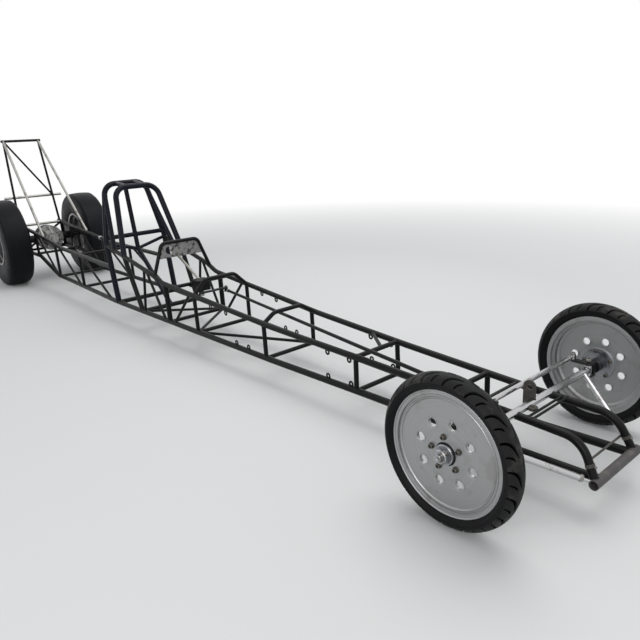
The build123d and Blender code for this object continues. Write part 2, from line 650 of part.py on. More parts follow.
for name, side in SIDES.items():
    centre = Vector(FRONT_X, side * FRONT_HALF_TRACK, AXLE_Z)
    spin = Axis(centre, (0, 1, 0))
    disc_back = DISC_FACE_W - RIM_SHEET
    with BuildPart() as hub:
        with BuildSketch(wheel_plane(centre, side)):
            with BuildLine():
                Polyline((HUB_INNER_W, STUB_RADIUS + PIN_FIT), (HUB_INNER_W, HUB_BARREL_RADIUS),
                         (disc_back - HUB_FLANGE, HUB_BARREL_RADIUS),
                         (disc_back - HUB_FLANGE, HUB_FLANGE_RADIUS), (disc_back, HUB_FLANGE_RADIUS),
                         (disc_back, HUB_COLLAR_RADIUS), (HUB_COLLAR_W, HUB_COLLAR_RADIUS), (HUB_COLLAR_W, HUB_CAP_RADIUS + 5),
                         (HUB_COLLAR_W - 3, HUB_CAP_RADIUS), (HUB_CAP_W - 2, HUB_CAP_RADIUS),
                         (HUB_CAP_W, HUB_CAP_RADIUS - 2), (HUB_CAP_W, AXLE_NUT_RADIUS),
                         (HUB_END_W, AXLE_NUT_RADIUS), (HUB_END_W, 0), (HUB_BORE_END_W, 0),
                         (HUB_BORE_END_W, STUB_RADIUS + PIN_FIT), close=True)
            make_face()
        revolve(axis=spin)
    save(hub.part, f"front_hub_{name}")
    with BuildPart() as rim:
        with BuildSketch(wheel_plane(centre, side)):
            with BuildLine():
                Polyline((HALF_RIM, FRONT_FLANGE_RADIUS), (HALF_RIM - FLANGE_SHEET, FRONT_FLANGE_RADIUS),
                         (HALF_RIM - FLANGE_SHEET, FRONT_BEAD_RADIUS), (WELL_FOOT, FRONT_BEAD_RADIUS),
                         (FRONT_WELL_HALF, FRONT_WELL_RADIUS), (-FRONT_WELL_HALF, FRONT_WELL_RADIUS),
                         (-WELL_FOOT, FRONT_BEAD_RADIUS), (FLANGE_SHEET - HALF_RIM, FRONT_BEAD_RADIUS),
                         (FLANGE_SHEET - HALF_RIM, FRONT_FLANGE_RADIUS), (-HALF_RIM, FRONT_FLANGE_RADIUS),
                         (-HALF_RIM, INNER_BEAD_RADIUS), (-WELL_FOOT - WELL_SKIN, INNER_BEAD_RADIUS),
                         (-FRONT_WELL_HALF - WELL_SKIN, INNER_WELL_RADIUS),
                         (FRONT_WELL_HALF, INNER_WELL_RADIUS),
                         (disc_back, DISC_EDGE_RADIUS - DISC_BEND), (disc_back, HUB_COLLAR_RADIUS),
                         (DISC_FACE_W, HUB_COLLAR_RADIUS), (DISC_FACE_W, DISC_EDGE_RADIUS), (DISC_LIP_W, DISC_EDGE_RADIUS + DISC_BEND),
                         (DISC_LIP_W, INNER_BEAD_RADIUS), (HALF_RIM, INNER_BEAD_RADIUS), close=True)
            make_face()
        revolve(axis=spin)
        with BuildSketch(Plane(origin=centre, x_dir=(1, 0, 0), z_dir=(0, side, 0))):
            with PolarLocations(DISC_HOLE_CIRCLE, DISC_HOLES, start_angle=side * -DISC_HOLE_TURN):
                Circle(DISC_HOLE_RADIUS)
        extrude(amount=HALF_RIM, both=True, mode=Mode.SUBTRACT)
    save(rim.part, f"front_rim_{name}")
    half = FRONT_TYRE_WIDTH / 2
    bead = HALF_RIM - FLANGE_SHEET
    inner = half - FRONT_TYRE_WALL
    widest = (FRONT_FLANGE_RADIUS + FRONT_TYRE_RADIUS) / 2
    mid_wall = (half + bead) / 2 + 4
    mid_radius = (FRONT_FLANGE_RADIUS + widest) / 2 - 3
    with BuildPart() as tyre:
        with BuildSketch(wheel_plane(centre, side)):
            with BuildLine():
                Polyline((-WELL_FOOT, FRONT_BEAD_RADIUS), (-bead, FRONT_BEAD_RADIUS),
                         (-bead, FRONT_FLANGE_RADIUS))
                ThreePointArc((-bead, FRONT_FLANGE_RADIUS), (-mid_wall, mid_radius), (-half, widest))
                ThreePointArc((-half, widest), (0, FRONT_TYRE_RADIUS), (half, widest))
                ThreePointArc((half, widest), (mid_wall, mid_radius), (bead, FRONT_FLANGE_RADIUS))
                Polyline((bead, FRONT_FLANGE_RADIUS), (bead, FRONT_BEAD_RADIUS),
                         (WELL_FOOT, FRONT_BEAD_RADIUS), (inner, widest))
                ThreePointArc((inner, widest), (0, FRONT_TYRE_RADIUS - FRONT_TYRE_WALL), (-inner, widest))
                Line((-inner, widest), (-WELL_FOOT, FRONT_BEAD_RADIUS))
            make_face()
        revolve(axis=spin)
    save(tyre.part, f"front_tyre_{name}")
print("front wheels done")

# Rear axle: housing in two plates, round centre section with a ribbed carrier on its front,
# one shaft through both wheels
SHAFT_RADIUS = 19.0
HOUSING_RADIUS = 38.0
HOUSING_END = 236.0
BEARING_RADIUS = 50.0
BEARING_HALF = 9.0
COVER_DEPTH = 45.0
COVER_TAPER = 35.0
DRIVE_FLANGE_Y = 340.0
DRIVE_FLANGE = 12.0
DRIVE_FLANGE_RADIUS = 72.0
PLATE_SHEET = 8.0
PLATE_HALF = 80.0
CENTRE_RADIUS = 126.0
CENTRE_HALF = 55.0
# Carrier, from its seat forward: (radius, length, taper)
CARRIER_STEPS = [
    (CENTRE_RADIUS, 14, 0),
    (92, 62, 24),
    (46, 34, 0),
    (28, 36, 0),
]
CARRIER_RIBS = 10
CARRIER_RIB_SHEET = 7.0
# A rib's outline: (ahead of the carrier's seat, from its axis)
CARRIER_RIB = [(10, 40), (10, 119), (20, 119), (92, 54), (92, 40)]
# Slick wheels: a dished disc bolted to the drive flange
DISH_SHEET = 9.0
DISH_RADIUS = 90.0
DISH_EDGE_W = -26.0
WHEEL_BORE_RADIUS = 32.0
SLICK_SIDE_SLOPE = 10.0     # how far in from the widest point the sidewall ends
SLICK_EDGE_IN = 26.0        # how far in the tread's flat part ends
SLICK_BULGE_DROP = 15.0     # the widest point lies this much below the sidewall's middle
axle_centre = Vector(REAR_X, 0, SLICK_RADIUS)
axle_plane = Plane(origin=axle_centre, x_dir=(1, 0, 0), z_dir=(0, 1, 0))
with BuildPart() as housing:
    with BuildSketch(axle_plane):
        Circle(HOUSING_RADIUS)
    extrude(amount=HOUSING_END, both=True)
    for side in SIDES.values():
        with BuildSketch(axle_plane.offset(side * (HOUSING_END - BEARING_HALF))):
            Circle(BEARING_RADIUS)
        extrude(amount=BEARING_HALF, both=True)
    with BuildSketch(Plane(origin=axle_centre - Vector(CENTRE_HALF, 0, 0), z_dir=(1, 0, 0))):
        Circle(CENTRE_RADIUS)
    extrude(amount=2 * CENTRE_HALF)
    with BuildSketch(Plane(origin=axle_centre - Vector(CENTRE_HALF, 0, 0), z_dir=(-1, 0, 0))):
        Circle(CENTRE_RADIUS - 6)
    extrude(amount=COVER_DEPTH, taper=COVER_TAPER)
    with BuildSketch(axle_plane):
        Circle(SHAFT_RADIUS + PIN_FIT)
    extrude(amount=HOUSING_END, both=True, mode=Mode.SUBTRACT)
save(housing.part, "axle_housing")
carrier_seat = axle_centre + Vector(CENTRE_HALF, 0, 0)
with BuildPart() as carrier:
    reach = 0
    for radius, length, taper in CARRIER_STEPS:
        with BuildSketch(Plane(origin=carrier_seat + Vector(reach, 0, 0), z_dir=(1, 0, 0))):
            Circle(radius)
        extrude(amount=length, taper=taper)
        reach += length
    rib_plane = Plane(origin=carrier_seat, x_dir=(1, 0, 0), z_dir=(0, -1, 0))
    for rib in range(CARRIER_RIBS):
        with BuildSketch(rib_plane.rotated((rib * 360 / CARRIER_RIBS, 0, 0))):
            Polygon(*CARRIER_RIB, align=None)
        extrude(amount=CARRIER_RIB_SHEET / 2, both=True)
save(carrier.part, "pinion_carrier")
plates = []
for name, side in SIDES.items():
    _, low = line_at(LOWER_LINE, WHEELBASE)
    half, high = line_at(BAY_LINE, WHEELBASE)
    with BuildPart() as plate:
        with BuildSketch(Plane(origin=(REAR_X, side * half + PLATE_SHEET / 2, 0), x_dir=(1, 0, 0),
                               z_dir=(0, -1, 0))):
            Polygon((-PLATE_HALF, low), (PLATE_HALF, low), (PLATE_HALF, high), (-PLATE_HALF, high),
                    align=None)
            with Locations((0, SLICK_RADIUS)):
                Circle(HOUSING_RADIUS, mode=Mode.SUBTRACT)
        extrude(amount=PLATE_SHEET)
    plates.append(plate.part)
save(cope(plates, bay["right"], bay["left"], lower["right"], lower["left"]), "axle_plates")
with BuildPart() as axle_shaft:
    with BuildSketch(axle_plane):
        Circle(SHAFT_RADIUS)
    extrude(amount=DRIVE_FLANGE_Y + DRIVE_FLANGE, both=True)
    for side in SIDES.values():
        with BuildSketch(axle_plane.offset(side * DRIVE_FLANGE_Y)):
            Circle(DRIVE_FLANGE_RADIUS)
        extrude(amount=side * DRIVE_FLANGE)
save(axle_shaft.part, "rear_axle_shaft")
for name, side in SIDES.items():
    centre = Vector(REAR_X, side * REAR_HALF_TRACK, SLICK_RADIUS)
    spin = Axis(centre, (0, 1, 0))
    half_rim = SLICK_RIM_WIDTH / 2
    inner_bead_radius = SLICK_BEAD_RADIUS - RIM_SHEET
    inner_well_radius = SLICK_WELL_RADIUS - RIM_SHEET
    well_foot = SLICK_WELL_HALF + SLICK_WELL_SLOPE
    inner = DRIVE_FLANGE_Y + DRIVE_FLANGE - REAR_HALF_TRACK
    outer = inner + DISH_SHEET
    with BuildPart() as rim:
        with BuildSketch(wheel_plane(centre, side)):
            with BuildLine():
                Polyline((half_rim, SLICK_FLANGE_RADIUS), (half_rim - RIM_SHEET, SLICK_FLANGE_RADIUS),
                         (half_rim - RIM_SHEET, SLICK_BEAD_RADIUS), (well_foot, SLICK_BEAD_RADIUS),
                         (SLICK_WELL_HALF, SLICK_WELL_RADIUS), (-SLICK_WELL_HALF, SLICK_WELL_RADIUS),
                         (-well_foot, SLICK_BEAD_RADIUS), (RIM_SHEET - half_rim, SLICK_BEAD_RADIUS),
                         (RIM_SHEET - half_rim, SLICK_FLANGE_RADIUS), (-half_rim, SLICK_FLANGE_RADIUS),
                         (-half_rim, inner_bead_radius), (-well_foot - WELL_SKIN, inner_bead_radius),
                         (-SLICK_WELL_HALF - WELL_SKIN, inner_well_radius),
                         (DISH_EDGE_W - DISH_SHEET, inner_well_radius), (inner, DISH_RADIUS),
                         (inner, WHEEL_BORE_RADIUS), (outer, WHEEL_BORE_RADIUS), (outer, DISH_RADIUS),
                         (DISH_EDGE_W, inner_well_radius),
                         (SLICK_WELL_HALF + WELL_SKIN, inner_well_radius),
                         (well_foot + WELL_SKIN, inner_bead_radius), (half_rim, inner_bead_radius),
                         close=True)
            make_face()
        revolve(axis=spin)
    save(rim.part, f"rear_rim_{name}")
    half = SLICK_WIDTH / 2
    bead = half_rim - RIM_SHEET
    widest = (SLICK_FLANGE_RADIUS + SLICK_RADIUS) / 2 - SLICK_BULGE_DROP
    shoulder = SLICK_RADIUS - SLICK_SHOULDER
    edge = SLICK_RADIUS - SLICK_CROWN
    under = SLICK_RADIUS - SLICK_TREAD
    side_w = half - SLICK_SIDE_SLOPE
    edge_w = half - SLICK_EDGE_IN
    inner_w = half - SLICK_WALL
    with BuildPart() as tyre:
        with BuildSketch(wheel_plane(centre, side)):
            with BuildLine():
                Polyline((-well_foot, SLICK_BEAD_RADIUS), (-bead, SLICK_BEAD_RADIUS),
                         (-bead, SLICK_FLANGE_RADIUS))
                ThreePointArc((-bead, SLICK_FLANGE_RADIUS), (-half, widest), (-side_w, shoulder))
                Line((-side_w, shoulder), (-edge_w, edge))
                ThreePointArc((-edge_w, edge), (0, SLICK_RADIUS), (edge_w, edge))
                Line((edge_w, edge), (side_w, shoulder))
                ThreePointArc((side_w, shoulder), (half, widest), (bead, SLICK_FLANGE_RADIUS))
                Polyline((bead, SLICK_FLANGE_RADIUS), (bead, SLICK_BEAD_RADIUS),
                         (well_foot, SLICK_BEAD_RADIUS), (inner_w, widest), (edge_w, under),
                         (-edge_w, under), (-inner_w, widest), (-well_foot, SLICK_BEAD_RADIUS))
            make_face()
        revolve(axis=spin)
    save(tyre.part, f"rear_tyre_{name}")
print("rear wheels done")

# Wing stand: two raked front struts, two upright rear struts, crossbars and one diagonal
WING_TOP = 1393.0
WING_BACK = WHEELBASE + 296
WING_HALF = 167.0
WING_TOP_HALF = 190.0
WING_MID = 830.0
WING_MID_HALF = 281.0
WING_FOOT = ahead(560)
top_bar = tube(WING_TUBE, at(WING_BACK, -WING_TOP_HALF, WING_TOP), at(WING_BACK, WING_TOP_HALF, WING_TOP))
WING_REAR_FOOT = RAIL_END - 30
foot_half, foot_z = line_at(BAY_LINE, WING_REAR_FOOT)
lift = (WING_MID - foot_z) / (WING_TOP - foot_z)
strut_back = WING_REAR_FOOT + lift * (WING_BACK - WING_REAR_FOOT)
mid_back = strut_back + (WING_TUBE + WING_STRUT_TUBE) / 2 - 4
mid_bar = tube(WING_TUBE, at(mid_back, -WING_MID_HALF, WING_MID), at(mid_back, WING_MID_HALF, WING_MID))
rear_struts = [tube(WING_STRUT_TUBE, at(WING_REAR_FOOT, s * foot_half, foot_z),
                    at(WING_BACK, s * WING_HALF, WING_TOP)) for s in SIDES.values()]
mid_half = foot_half + lift * (WING_HALF - foot_half)
diagonal = tube(BRACE_TUBE, at(WING_BACK, -WING_HALF, WING_TOP), at(strut_back, mid_half, WING_MID))
wing_frame = cope([top_bar, mid_bar, *rear_struts, diagonal], *bay.values(), *bay_frames.values(),
                  rear_cross)
save(wing_frame, "wing_frame")
front_struts = [tube(WING_BRACE_TUBE, on_rail(BAY_LINE, WING_FOOT, s),
                     at(WING_BACK, s * WING_HALF, WING_TOP)) for s in SIDES.values()]
save(cope(front_struts, wing_frame, *bay.values(), *bay_frames.values()), "wing_struts")
print("car done")
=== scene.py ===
import math

import bmesh
import bpy
from mathutils import Matrix, Vector
from mathutils.bvhtree import BVHTree


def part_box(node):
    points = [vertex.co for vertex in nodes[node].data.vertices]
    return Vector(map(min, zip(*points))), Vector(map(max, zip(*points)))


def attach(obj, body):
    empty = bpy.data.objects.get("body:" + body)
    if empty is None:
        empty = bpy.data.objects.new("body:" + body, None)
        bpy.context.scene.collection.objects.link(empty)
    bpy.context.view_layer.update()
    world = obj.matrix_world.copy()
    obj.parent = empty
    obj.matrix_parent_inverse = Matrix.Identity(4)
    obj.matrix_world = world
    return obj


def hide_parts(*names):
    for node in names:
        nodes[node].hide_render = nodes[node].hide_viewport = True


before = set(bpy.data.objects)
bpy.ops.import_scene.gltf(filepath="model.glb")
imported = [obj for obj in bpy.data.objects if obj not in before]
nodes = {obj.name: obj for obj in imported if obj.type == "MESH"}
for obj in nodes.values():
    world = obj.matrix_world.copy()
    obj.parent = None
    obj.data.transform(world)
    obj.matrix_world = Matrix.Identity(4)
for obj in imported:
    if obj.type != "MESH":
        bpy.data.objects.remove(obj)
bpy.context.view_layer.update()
scene = bpy.context.scene
for leftover in ("Cube", "Light", "Camera"):
    if leftover in bpy.data.objects:
        bpy.data.objects.remove(bpy.data.objects[leftover])

# camera: eye point and turn angles in degrees, optics as shares of the square picture
photoView = {
    "eye": (4.043, -2.020, 1.354),
    "yaw": 137.82,
    "pitch": 18.11,
    "roll": 2.65,
    "focal": 0.9528,
    "centre": (0.5461, 0.5144),
    "sensor": 36.0,
    "farClip": 200.0,
}


def aimCamera(v):
    yaw, pitch, roll = (math.radians(v[k]) for k in ("yaw", "pitch", "roll"))
    forward = Vector((math.cos(yaw) * math.cos(pitch), math.sin(yaw) * math.cos(pitch), -math.sin(pitch)))
    level = Vector((math.sin(yaw), -math.cos(yaw), 0))
    down = forward.cross(level)
    right = level * math.cos(roll) + down * math.sin(roll)
    up = level * math.sin(roll) - down * math.cos(roll)
    lens = bpy.data.cameras.new("photoCamera")
    lens.sensor_width = v["sensor"]
    lens.lens = v["sensor"] * v["focal"]
    lens.shift_x = 0.5 - v["centre"][0]
    lens.shift_y = v["centre"][1] - 0.5
    lens.clip_end = v["farClip"]
    camera = bpy.data.objects.new("photoCamera", lens)
    scene.collection.objects.link(camera)
    camera.matrix_world = Matrix.Translation(v["eye"]) @ Matrix((right, up, -forward)).transposed().to_4x4()
    scene.camera = camera


aimCamera(photoView)
scene.view_settings.view_transform = "Standard"


# node helpers, for shaders and for geometry
def feed(tree, socket, value):
    if isinstance(value, bpy.types.NodeSocket):
        tree.links.new(value, socket)
    else:
        socket.default_value = value


def place(tree, kind, inputs, **settings):
    made = tree.nodes.new(kind)
    for key, value in settings.items():
        setattr(made, key, value)
    for key, value in inputs.items():
        feed(tree, made.inputs[key], value)
    return made


def newTree(name, kind, inputs, outputs):
    # each input has its kind of socket, or the number that it starts from
    tree = bpy.data.node_groups.new(name, kind)
    for label, value in inputs.items():
        isNumber = isinstance(value, float)
        socket = tree.interface.new_socket(label, in_out="INPUT",
                                           socket_type="NodeSocket" + ("Float" if isNumber else value))
        if isNumber:
            socket.default_value = value
    for label, value in outputs.items():
        tree.interface.new_socket(label, in_out="OUTPUT", socket_type="NodeSocket" + value)
    return tree, tree.nodes.new("NodeGroupInput").outputs


def calc(tree, operation, *values):
    return place(tree, "ShaderNodeMath", dict(enumerate(values)), operation=operation).outputs[0]


def remap(tree, value, low, high, toLow=0.0, toHigh=1.0):
    made = place(tree, "ShaderNodeMapRange", {"Value": value, "From Min": low, "From Max": high,
                                              "To Min": toLow, "To Max": toHigh})
    return made.outputs["Result"]


def mixColour(tree, factor, a, b, blend="MIX"):
    # the colour sockets of a mix node are its inputs 6 and 7 and its output 2
    a, b = ((*c, 1) if isinstance(c, tuple) else c for c in (a, b))
    made = place(tree, "ShaderNodeMix", {0: factor, 6: a, 7: b}, data_type="RGBA", blend_type=blend)
    return made.outputs[2]


def dimmed(colour, share):
    return tuple(c * share for c in colour)


def noise(tree, vector, scale, detail, rough=0.55):
    made = place(tree, "ShaderNodeTexNoise", {"Vector": vector, "Scale": scale, "Detail": detail,
                                              "Roughness": rough})
    return made.outputs["Fac"]


# patchy wear, and a mask of upward faces for settled dust and painted top light, for every painted or dull
# surface
def makePatina():
    tree, start = newTree("patina", "ShaderNodeTree",
                          {"Vector": "Vector", "Patch Scale": 12.0, "Worn Share": 0.3, "Grit Scale": 400.0},
                          {"Worn": "Float", "DustAndTopLight": "Float", "Height": "Float"})
    patches = noise(tree, start["Vector"], start["Patch Scale"], 6.0, 0.62)
    grit = noise(tree, start["Vector"], start["Grit Scale"], 3.0, 0.6)
    broken = calc(tree, "MULTIPLY_ADD", grit, 0.25, patches)
    edge = calc(tree, "SUBTRACT", 1.0, start["Worn Share"])
    # upward faces get the dust mask: settled dust and painted top light
    facing = tree.nodes.new("ShaderNodeNewGeometry")
    split = place(tree, "ShaderNodeSeparateXYZ", {"Vector": facing.outputs["Normal"]})
    upward = remap(tree, split.outputs["Z"], 0.1, 1.0)
    place(tree, "NodeGroupOutput", {
        "Worn": remap(tree, broken, calc(tree, "ADD", edge, 0.12), calc(tree, "ADD", edge, 0.16)),
        "DustAndTopLight": calc(tree, "MULTIPLY", upward, remap(tree, patches, 0.35, 0.7)),
        "Height": broken})
    return tree


# lathe rings round a wheel's own axle line, which runs along Y
def makeLatheLines():
    tree, start = newTree("latheLines", "ShaderNodeTree", {"Vector": "Vector", "Rings": 900.0},
                          {"Shade": "Float", "Height": "Float"})
    flat = place(tree, "ShaderNodeVectorMath", {0: start["Vector"], 1: (1, 0, 1)}, operation="MULTIPLY")
    length = place(tree, "ShaderNodeVectorMath", {0: flat.outputs[0]}, operation="LENGTH")
    radius = length.outputs["Value"]
    fine = place(tree, "ShaderNodeTexNoise", {"W": radius, "Scale": start["Rings"], "Detail": 3.0,
                                              "Roughness": 0.7}, noise_dimensions="1D").outputs["Fac"]
    broad = place(tree, "ShaderNodeTexNoise", {"W": radius, "Scale": 60.0, "Detail": 2.0},
                  noise_dimensions="1D").outputs["Fac"]
    shade = calc(tree, "ADD", fine, broad)
    place(tree, "NodeGroupOutput", {"Shade": remap(tree, shade, 0.7, 1.3), "Height": fine})
    return tree


# fine skin of rubber and cast metal
def makeGrain():
    tree, start = newTree("grain", "ShaderNodeTree", {"Vector": "Vector", "Scale": 900.0},
                          {"Shade": "Float", "Height": "Float"})
    pits = place(tree, "ShaderNodeTexVoronoi", {"Vector": start["Vector"], "Scale": start["Scale"]},
                 feature="SMOOTH_F1")
    place(tree, "NodeGroupOutput", {"Shade": noise(tree, start["Vector"], 9.0, 5.0, 0.6),
                                    "Height": pits.outputs["Distance"]})
    return tree


patina, latheLines, grain = makePatina(), makeLatheLines(), makeGrain()


def dress(material, inputs):
    tree = material.node_tree
    for key, value in inputs.items():
        feed(tree, tree.nodes["Principled BSDF"].inputs[key], value)
    return material


def startMaterial(name, rough, metallic=0.0, specular=0.5, centre=(0, 0, 0)):
    material = bpy.data.materials.new(name)
    material.use_nodes = True
    dress(material, {"Metallic": metallic, "Roughness": rough, "Specular IOR Level": specular})
    tree = material.node_tree
    where = tree.nodes.new("ShaderNodeTexCoord")
    mapping = place(tree, "ShaderNodeMapping", {"Vector": where.outputs["Object"],
                                                "Location": tuple(-c for c in centre)})
    return material, tree, mapping.outputs["Vector"]


def useGroup(tree, group, inputs):
    return place(tree, "ShaderNodeGroup", inputs, node_tree=group).outputs


def bumpFrom(tree, height, strength, distance):
    made = place(tree, "ShaderNodeBump", {"Height": height, "Strength": strength, "Distance": distance})
    return made.outputs["Normal"]


def paint(name, colour, wornColour, dustColour, rough, wornShare, dustShare, patch=14.0, specular=0.14):
    material, tree, vector = startMaterial(name, rough, specular=specular)
    marks = useGroup(tree, patina, {"Vector": vector, "Patch Scale": patch, "Worn Share": wornShare})
    tone = remap(tree, noise(tree, vector, 5.0, 3.0), 0.3, 0.7, 0.85, 1.18)
    base = mixColour(tree, 1.0, colour, tone, "MULTIPLY")
    base = mixColour(tree, marks["Worn"], base, wornColour)
    # dust colour laid on upward faces: settled dust and painted top light
    dustAndTopLight = calc(tree, "MULTIPLY", marks["DustAndTopLight"], dustShare)
    return dress(material, {
        "Base Color": mixColour(tree, dustAndTopLight, base, dustColour),
        "Roughness": remap(tree, marks["Height"], 0.35, 0.85, rough - 0.07, rough + 0.16),
        "Normal": bumpFrom(tree, marks["Height"], 0.22, 0.0006)})


def brightMetal(name, colour, rough, stain, stainShare, bump=0.03, patch=11.0):
    material, tree, vector = startMaterial(name, rough, metallic=1.0)
    marks = useGroup(tree, patina, {"Vector": vector, "Patch Scale": patch, "Worn Share": stainShare,
                                    "Grit Scale": 260.0})
    return dress(material, {
        "Base Color": mixColour(tree, marks["Worn"], colour, stain),
        "Roughness": remap(tree, marks["Height"], 0.4, 0.9, rough, rough + 0.14),
        "Normal": bumpFrom(tree, marks["Height"], bump, 0.0004)})


def spunMetal(name, colour, rough, centre, rings, dull):
    material, tree, vector = startMaterial(name, rough, metallic=1.0, centre=centre)
    lines = useGroup(tree, latheLines, {"Vector": vector, "Rings": rings})
    marks = useGroup(tree, patina, {"Vector": vector, "Patch Scale": 8.0, "Worn Share": 0.42,
                                    "Grit Scale": 260.0})
    base = mixColour(tree, lines["Shade"], dimmed(colour, 0.86), colour)
    return dress(material, {
        "Base Color": mixColour(tree, marks["Worn"], base, dull),
        "Roughness": remap(tree, lines["Shade"], 0.0, 1.0, rough - 0.05, rough + 0.08),
        "Normal": bumpFrom(tree, lines["Height"], 0.12, 0.0004)})


def rubber(name, colour, dustColour, rough, dustShare, centre, pores, streaks=0.0, specular=0.12):
    material, tree, vector = startMaterial(name, rough, specular=specular, centre=centre)
    skin = useGroup(tree, grain, {"Vector": vector, "Scale": pores})
    marks = useGroup(tree, patina, {"Vector": vector, "Patch Scale": 7.0, "Worn Share": dustShare})
    base = mixColour(tree, remap(tree, skin["Shade"], 0.3, 0.7), dimmed(colour, 0.8), colour)
    base = mixColour(tree, marks["Worn"], base, dustColour)
    height = skin["Height"]
    if streaks:
        lines = useGroup(tree, latheLines, {"Vector": vector, "Rings": 500.0})
        base = mixColour(tree, remap(tree, lines["Shade"], 0.5, 1.0, 0.0, streaks), base, dustColour)
        height = calc(tree, "ADD", height, lines["Height"])
    return dress(material, {
        "Base Color": base,
        "Roughness": remap(tree, skin["Shade"], 0.3, 0.7, rough - 0.06, rough + 0.1),
        "Normal": bumpFrom(tree, height, 0.25, 0.0005)})


def castMetal(name, colour, rough, pores, stain):
    material, tree, vector = startMaterial(name, rough, metallic=0.85)
    skin = useGroup(tree, grain, {"Vector": vector, "Scale": pores})
    marks = useGroup(tree, patina, {"Vector": vector, "Patch Scale": 9.0, "Worn Share": 0.40})
    base = mixColour(tree, remap(tree, skin["Shade"], 0.3, 0.7), dimmed(colour, 0.75), colour)
    return dress(material, {"Base Color": mixColour(tree, marks["Worn"], base, stain),
                            "Normal": bumpFrom(tree, skin["Height"], 0.35, 0.0006)})


# middles of the front wheels and of the rear wheels
wheelSpots = {
    "right": (2.885, -0.535, 0.288),
    "left": (2.885, 0.535, 0.288),
}
rearSpots = {
    "right": (-2.835, -0.393, 0.419),
    "left": (-2.835, 0.393, 0.419),
}

# in each paint the third colour goes on upward faces: settled dust and painted top light
framePaint = paint("framePaint", (0.0052, 0.0053, 0.0058), (0.016, 0.015, 0.014), (0.052, 0.049, 0.045),
                   0.30, 0.24, 0.26)
cagePaint = paint("cagePaint", (0.0052, 0.0058, 0.0130), (0.013, 0.014, 0.022), (0.050, 0.050, 0.052),
                  0.22, 0.18, 0.10)
nosePrimer = paint("nosePrimer", (0.085, 0.080, 0.080), (0.14, 0.130, 0.122), (0.22, 0.20, 0.18),
                   0.40, 0.42, 0.35)
housingPaint = paint("housingPaint", (0.007, 0.007, 0.008), (0.040, 0.036, 0.032), (0.08, 0.075, 0.07),
                     0.40, 0.34, 0.20)
dashSheet = paint("dashSheet", (0.245, 0.241, 0.235), (0.055, 0.055, 0.055), (0.22, 0.21, 0.20),
                  0.44, 0.46, 0.10, patch=26.0)
weldMetal = paint("weldMetal", (0.009, 0.009, 0.010), (0.030, 0.028, 0.026), (0.07, 0.065, 0.06),
                  0.28, 0.34, 0.15, patch=60.0, specular=0.4)
plateSteel = paint("plateSteel", (0.070, 0.067, 0.062), (0.100, 0.088, 0.074), (0.13, 0.12, 0.11),
                   0.44, 0.48, 0.20, patch=34.0)
# near-black paint for the ring round the wheel's bore: painted shadow of the gap between disc and collar
boreShadowPaint = paint("boreShadowPaint", (0.012, 0.012, 0.013), (0.030, 0.028, 0.026), (0.08, 0.075, 0.07),
                 0.48, 0.30, 0.15, patch=60.0)
brightRod = brightMetal("brightRod", (0.50, 0.50, 0.51), 0.17, (0.33, 0.325, 0.315), 0.42)
nickelStrut = brightMetal("nickelStrut", (0.34, 0.33, 0.315), 0.27, (0.22, 0.21, 0.195), 0.42)
zincSteel = brightMetal("zincSteel", (0.30, 0.295, 0.275), 0.30, (0.16, 0.15, 0.13), 0.40)
darkSteel = brightMetal("darkSteel", (0.055, 0.055, 0.058), 0.38, (0.035, 0.031, 0.028), 0.40, 0.10)
blackLink = brightMetal("blackLink", (0.016, 0.016, 0.016), 0.34, (0.035, 0.032, 0.029), 0.32, 0.08)
dullBolt = brightMetal("dullBolt", (0.150, 0.142, 0.130), 0.40, (0.105, 0.082, 0.064), 0.42, 0.08, 60.0)
castAluminium = castMetal("castAluminium", (0.42, 0.42, 0.41), 0.46, 420.0, (0.27, 0.265, 0.25))
spunRim = {s: spunMetal("spunRim" + s.title(), (0.40, 0.405, 0.408), 0.40, p, 1300.0, (0.325, 0.325, 0.32))
           for s, p in wheelSpots.items()}
machinedHub = {s: spunMetal("machinedHub" + s.title(), (0.42, 0.43, 0.455), 0.26, p, 1700.0,
                            (0.24, 0.235, 0.225)) for s, p in wheelSpots.items()}
slickRim = {s: spunMetal("slickRim" + s.title(), (0.28, 0.28, 0.285), 0.32, p, 1200.0, (0.22, 0.215, 0.20))
            for s, p in rearSpots.items()}
# near-black, sheenless rubber on the groove floors: painted shade in the grooves
shadedGrooveRubber = rubber("shadedGrooveRubber", (0.0012, 0.0012, 0.0013), (0.004, 0.0038, 0.0036), 0.80, 0.20,
                      (0, 0, 0), 1100.0, specular=0.0)
wornRubber = rubber("wornRubber", (0.0150, 0.0150, 0.0158), (0.040, 0.038, 0.035), 0.50, 0.46,
                    (0, 0, 0), 1100.0)
frontRubber = {s: rubber("frontRubber" + s.title(), (0.0055, 0.0056, 0.0064), (0.020, 0.019, 0.018), 0.45,
                         0.32, p, 1100.0) for s, p in wheelSpots.items()}
slickRubber = {s: rubber("slickRubber" + s.title(), (0.0048, 0.0052, 0.0072), (0.016, 0.016, 0.018), 0.44,
                         0.24, p, 800.0, streaks=0.20) for s, p in rearSpots.items()}
print("materials ready")

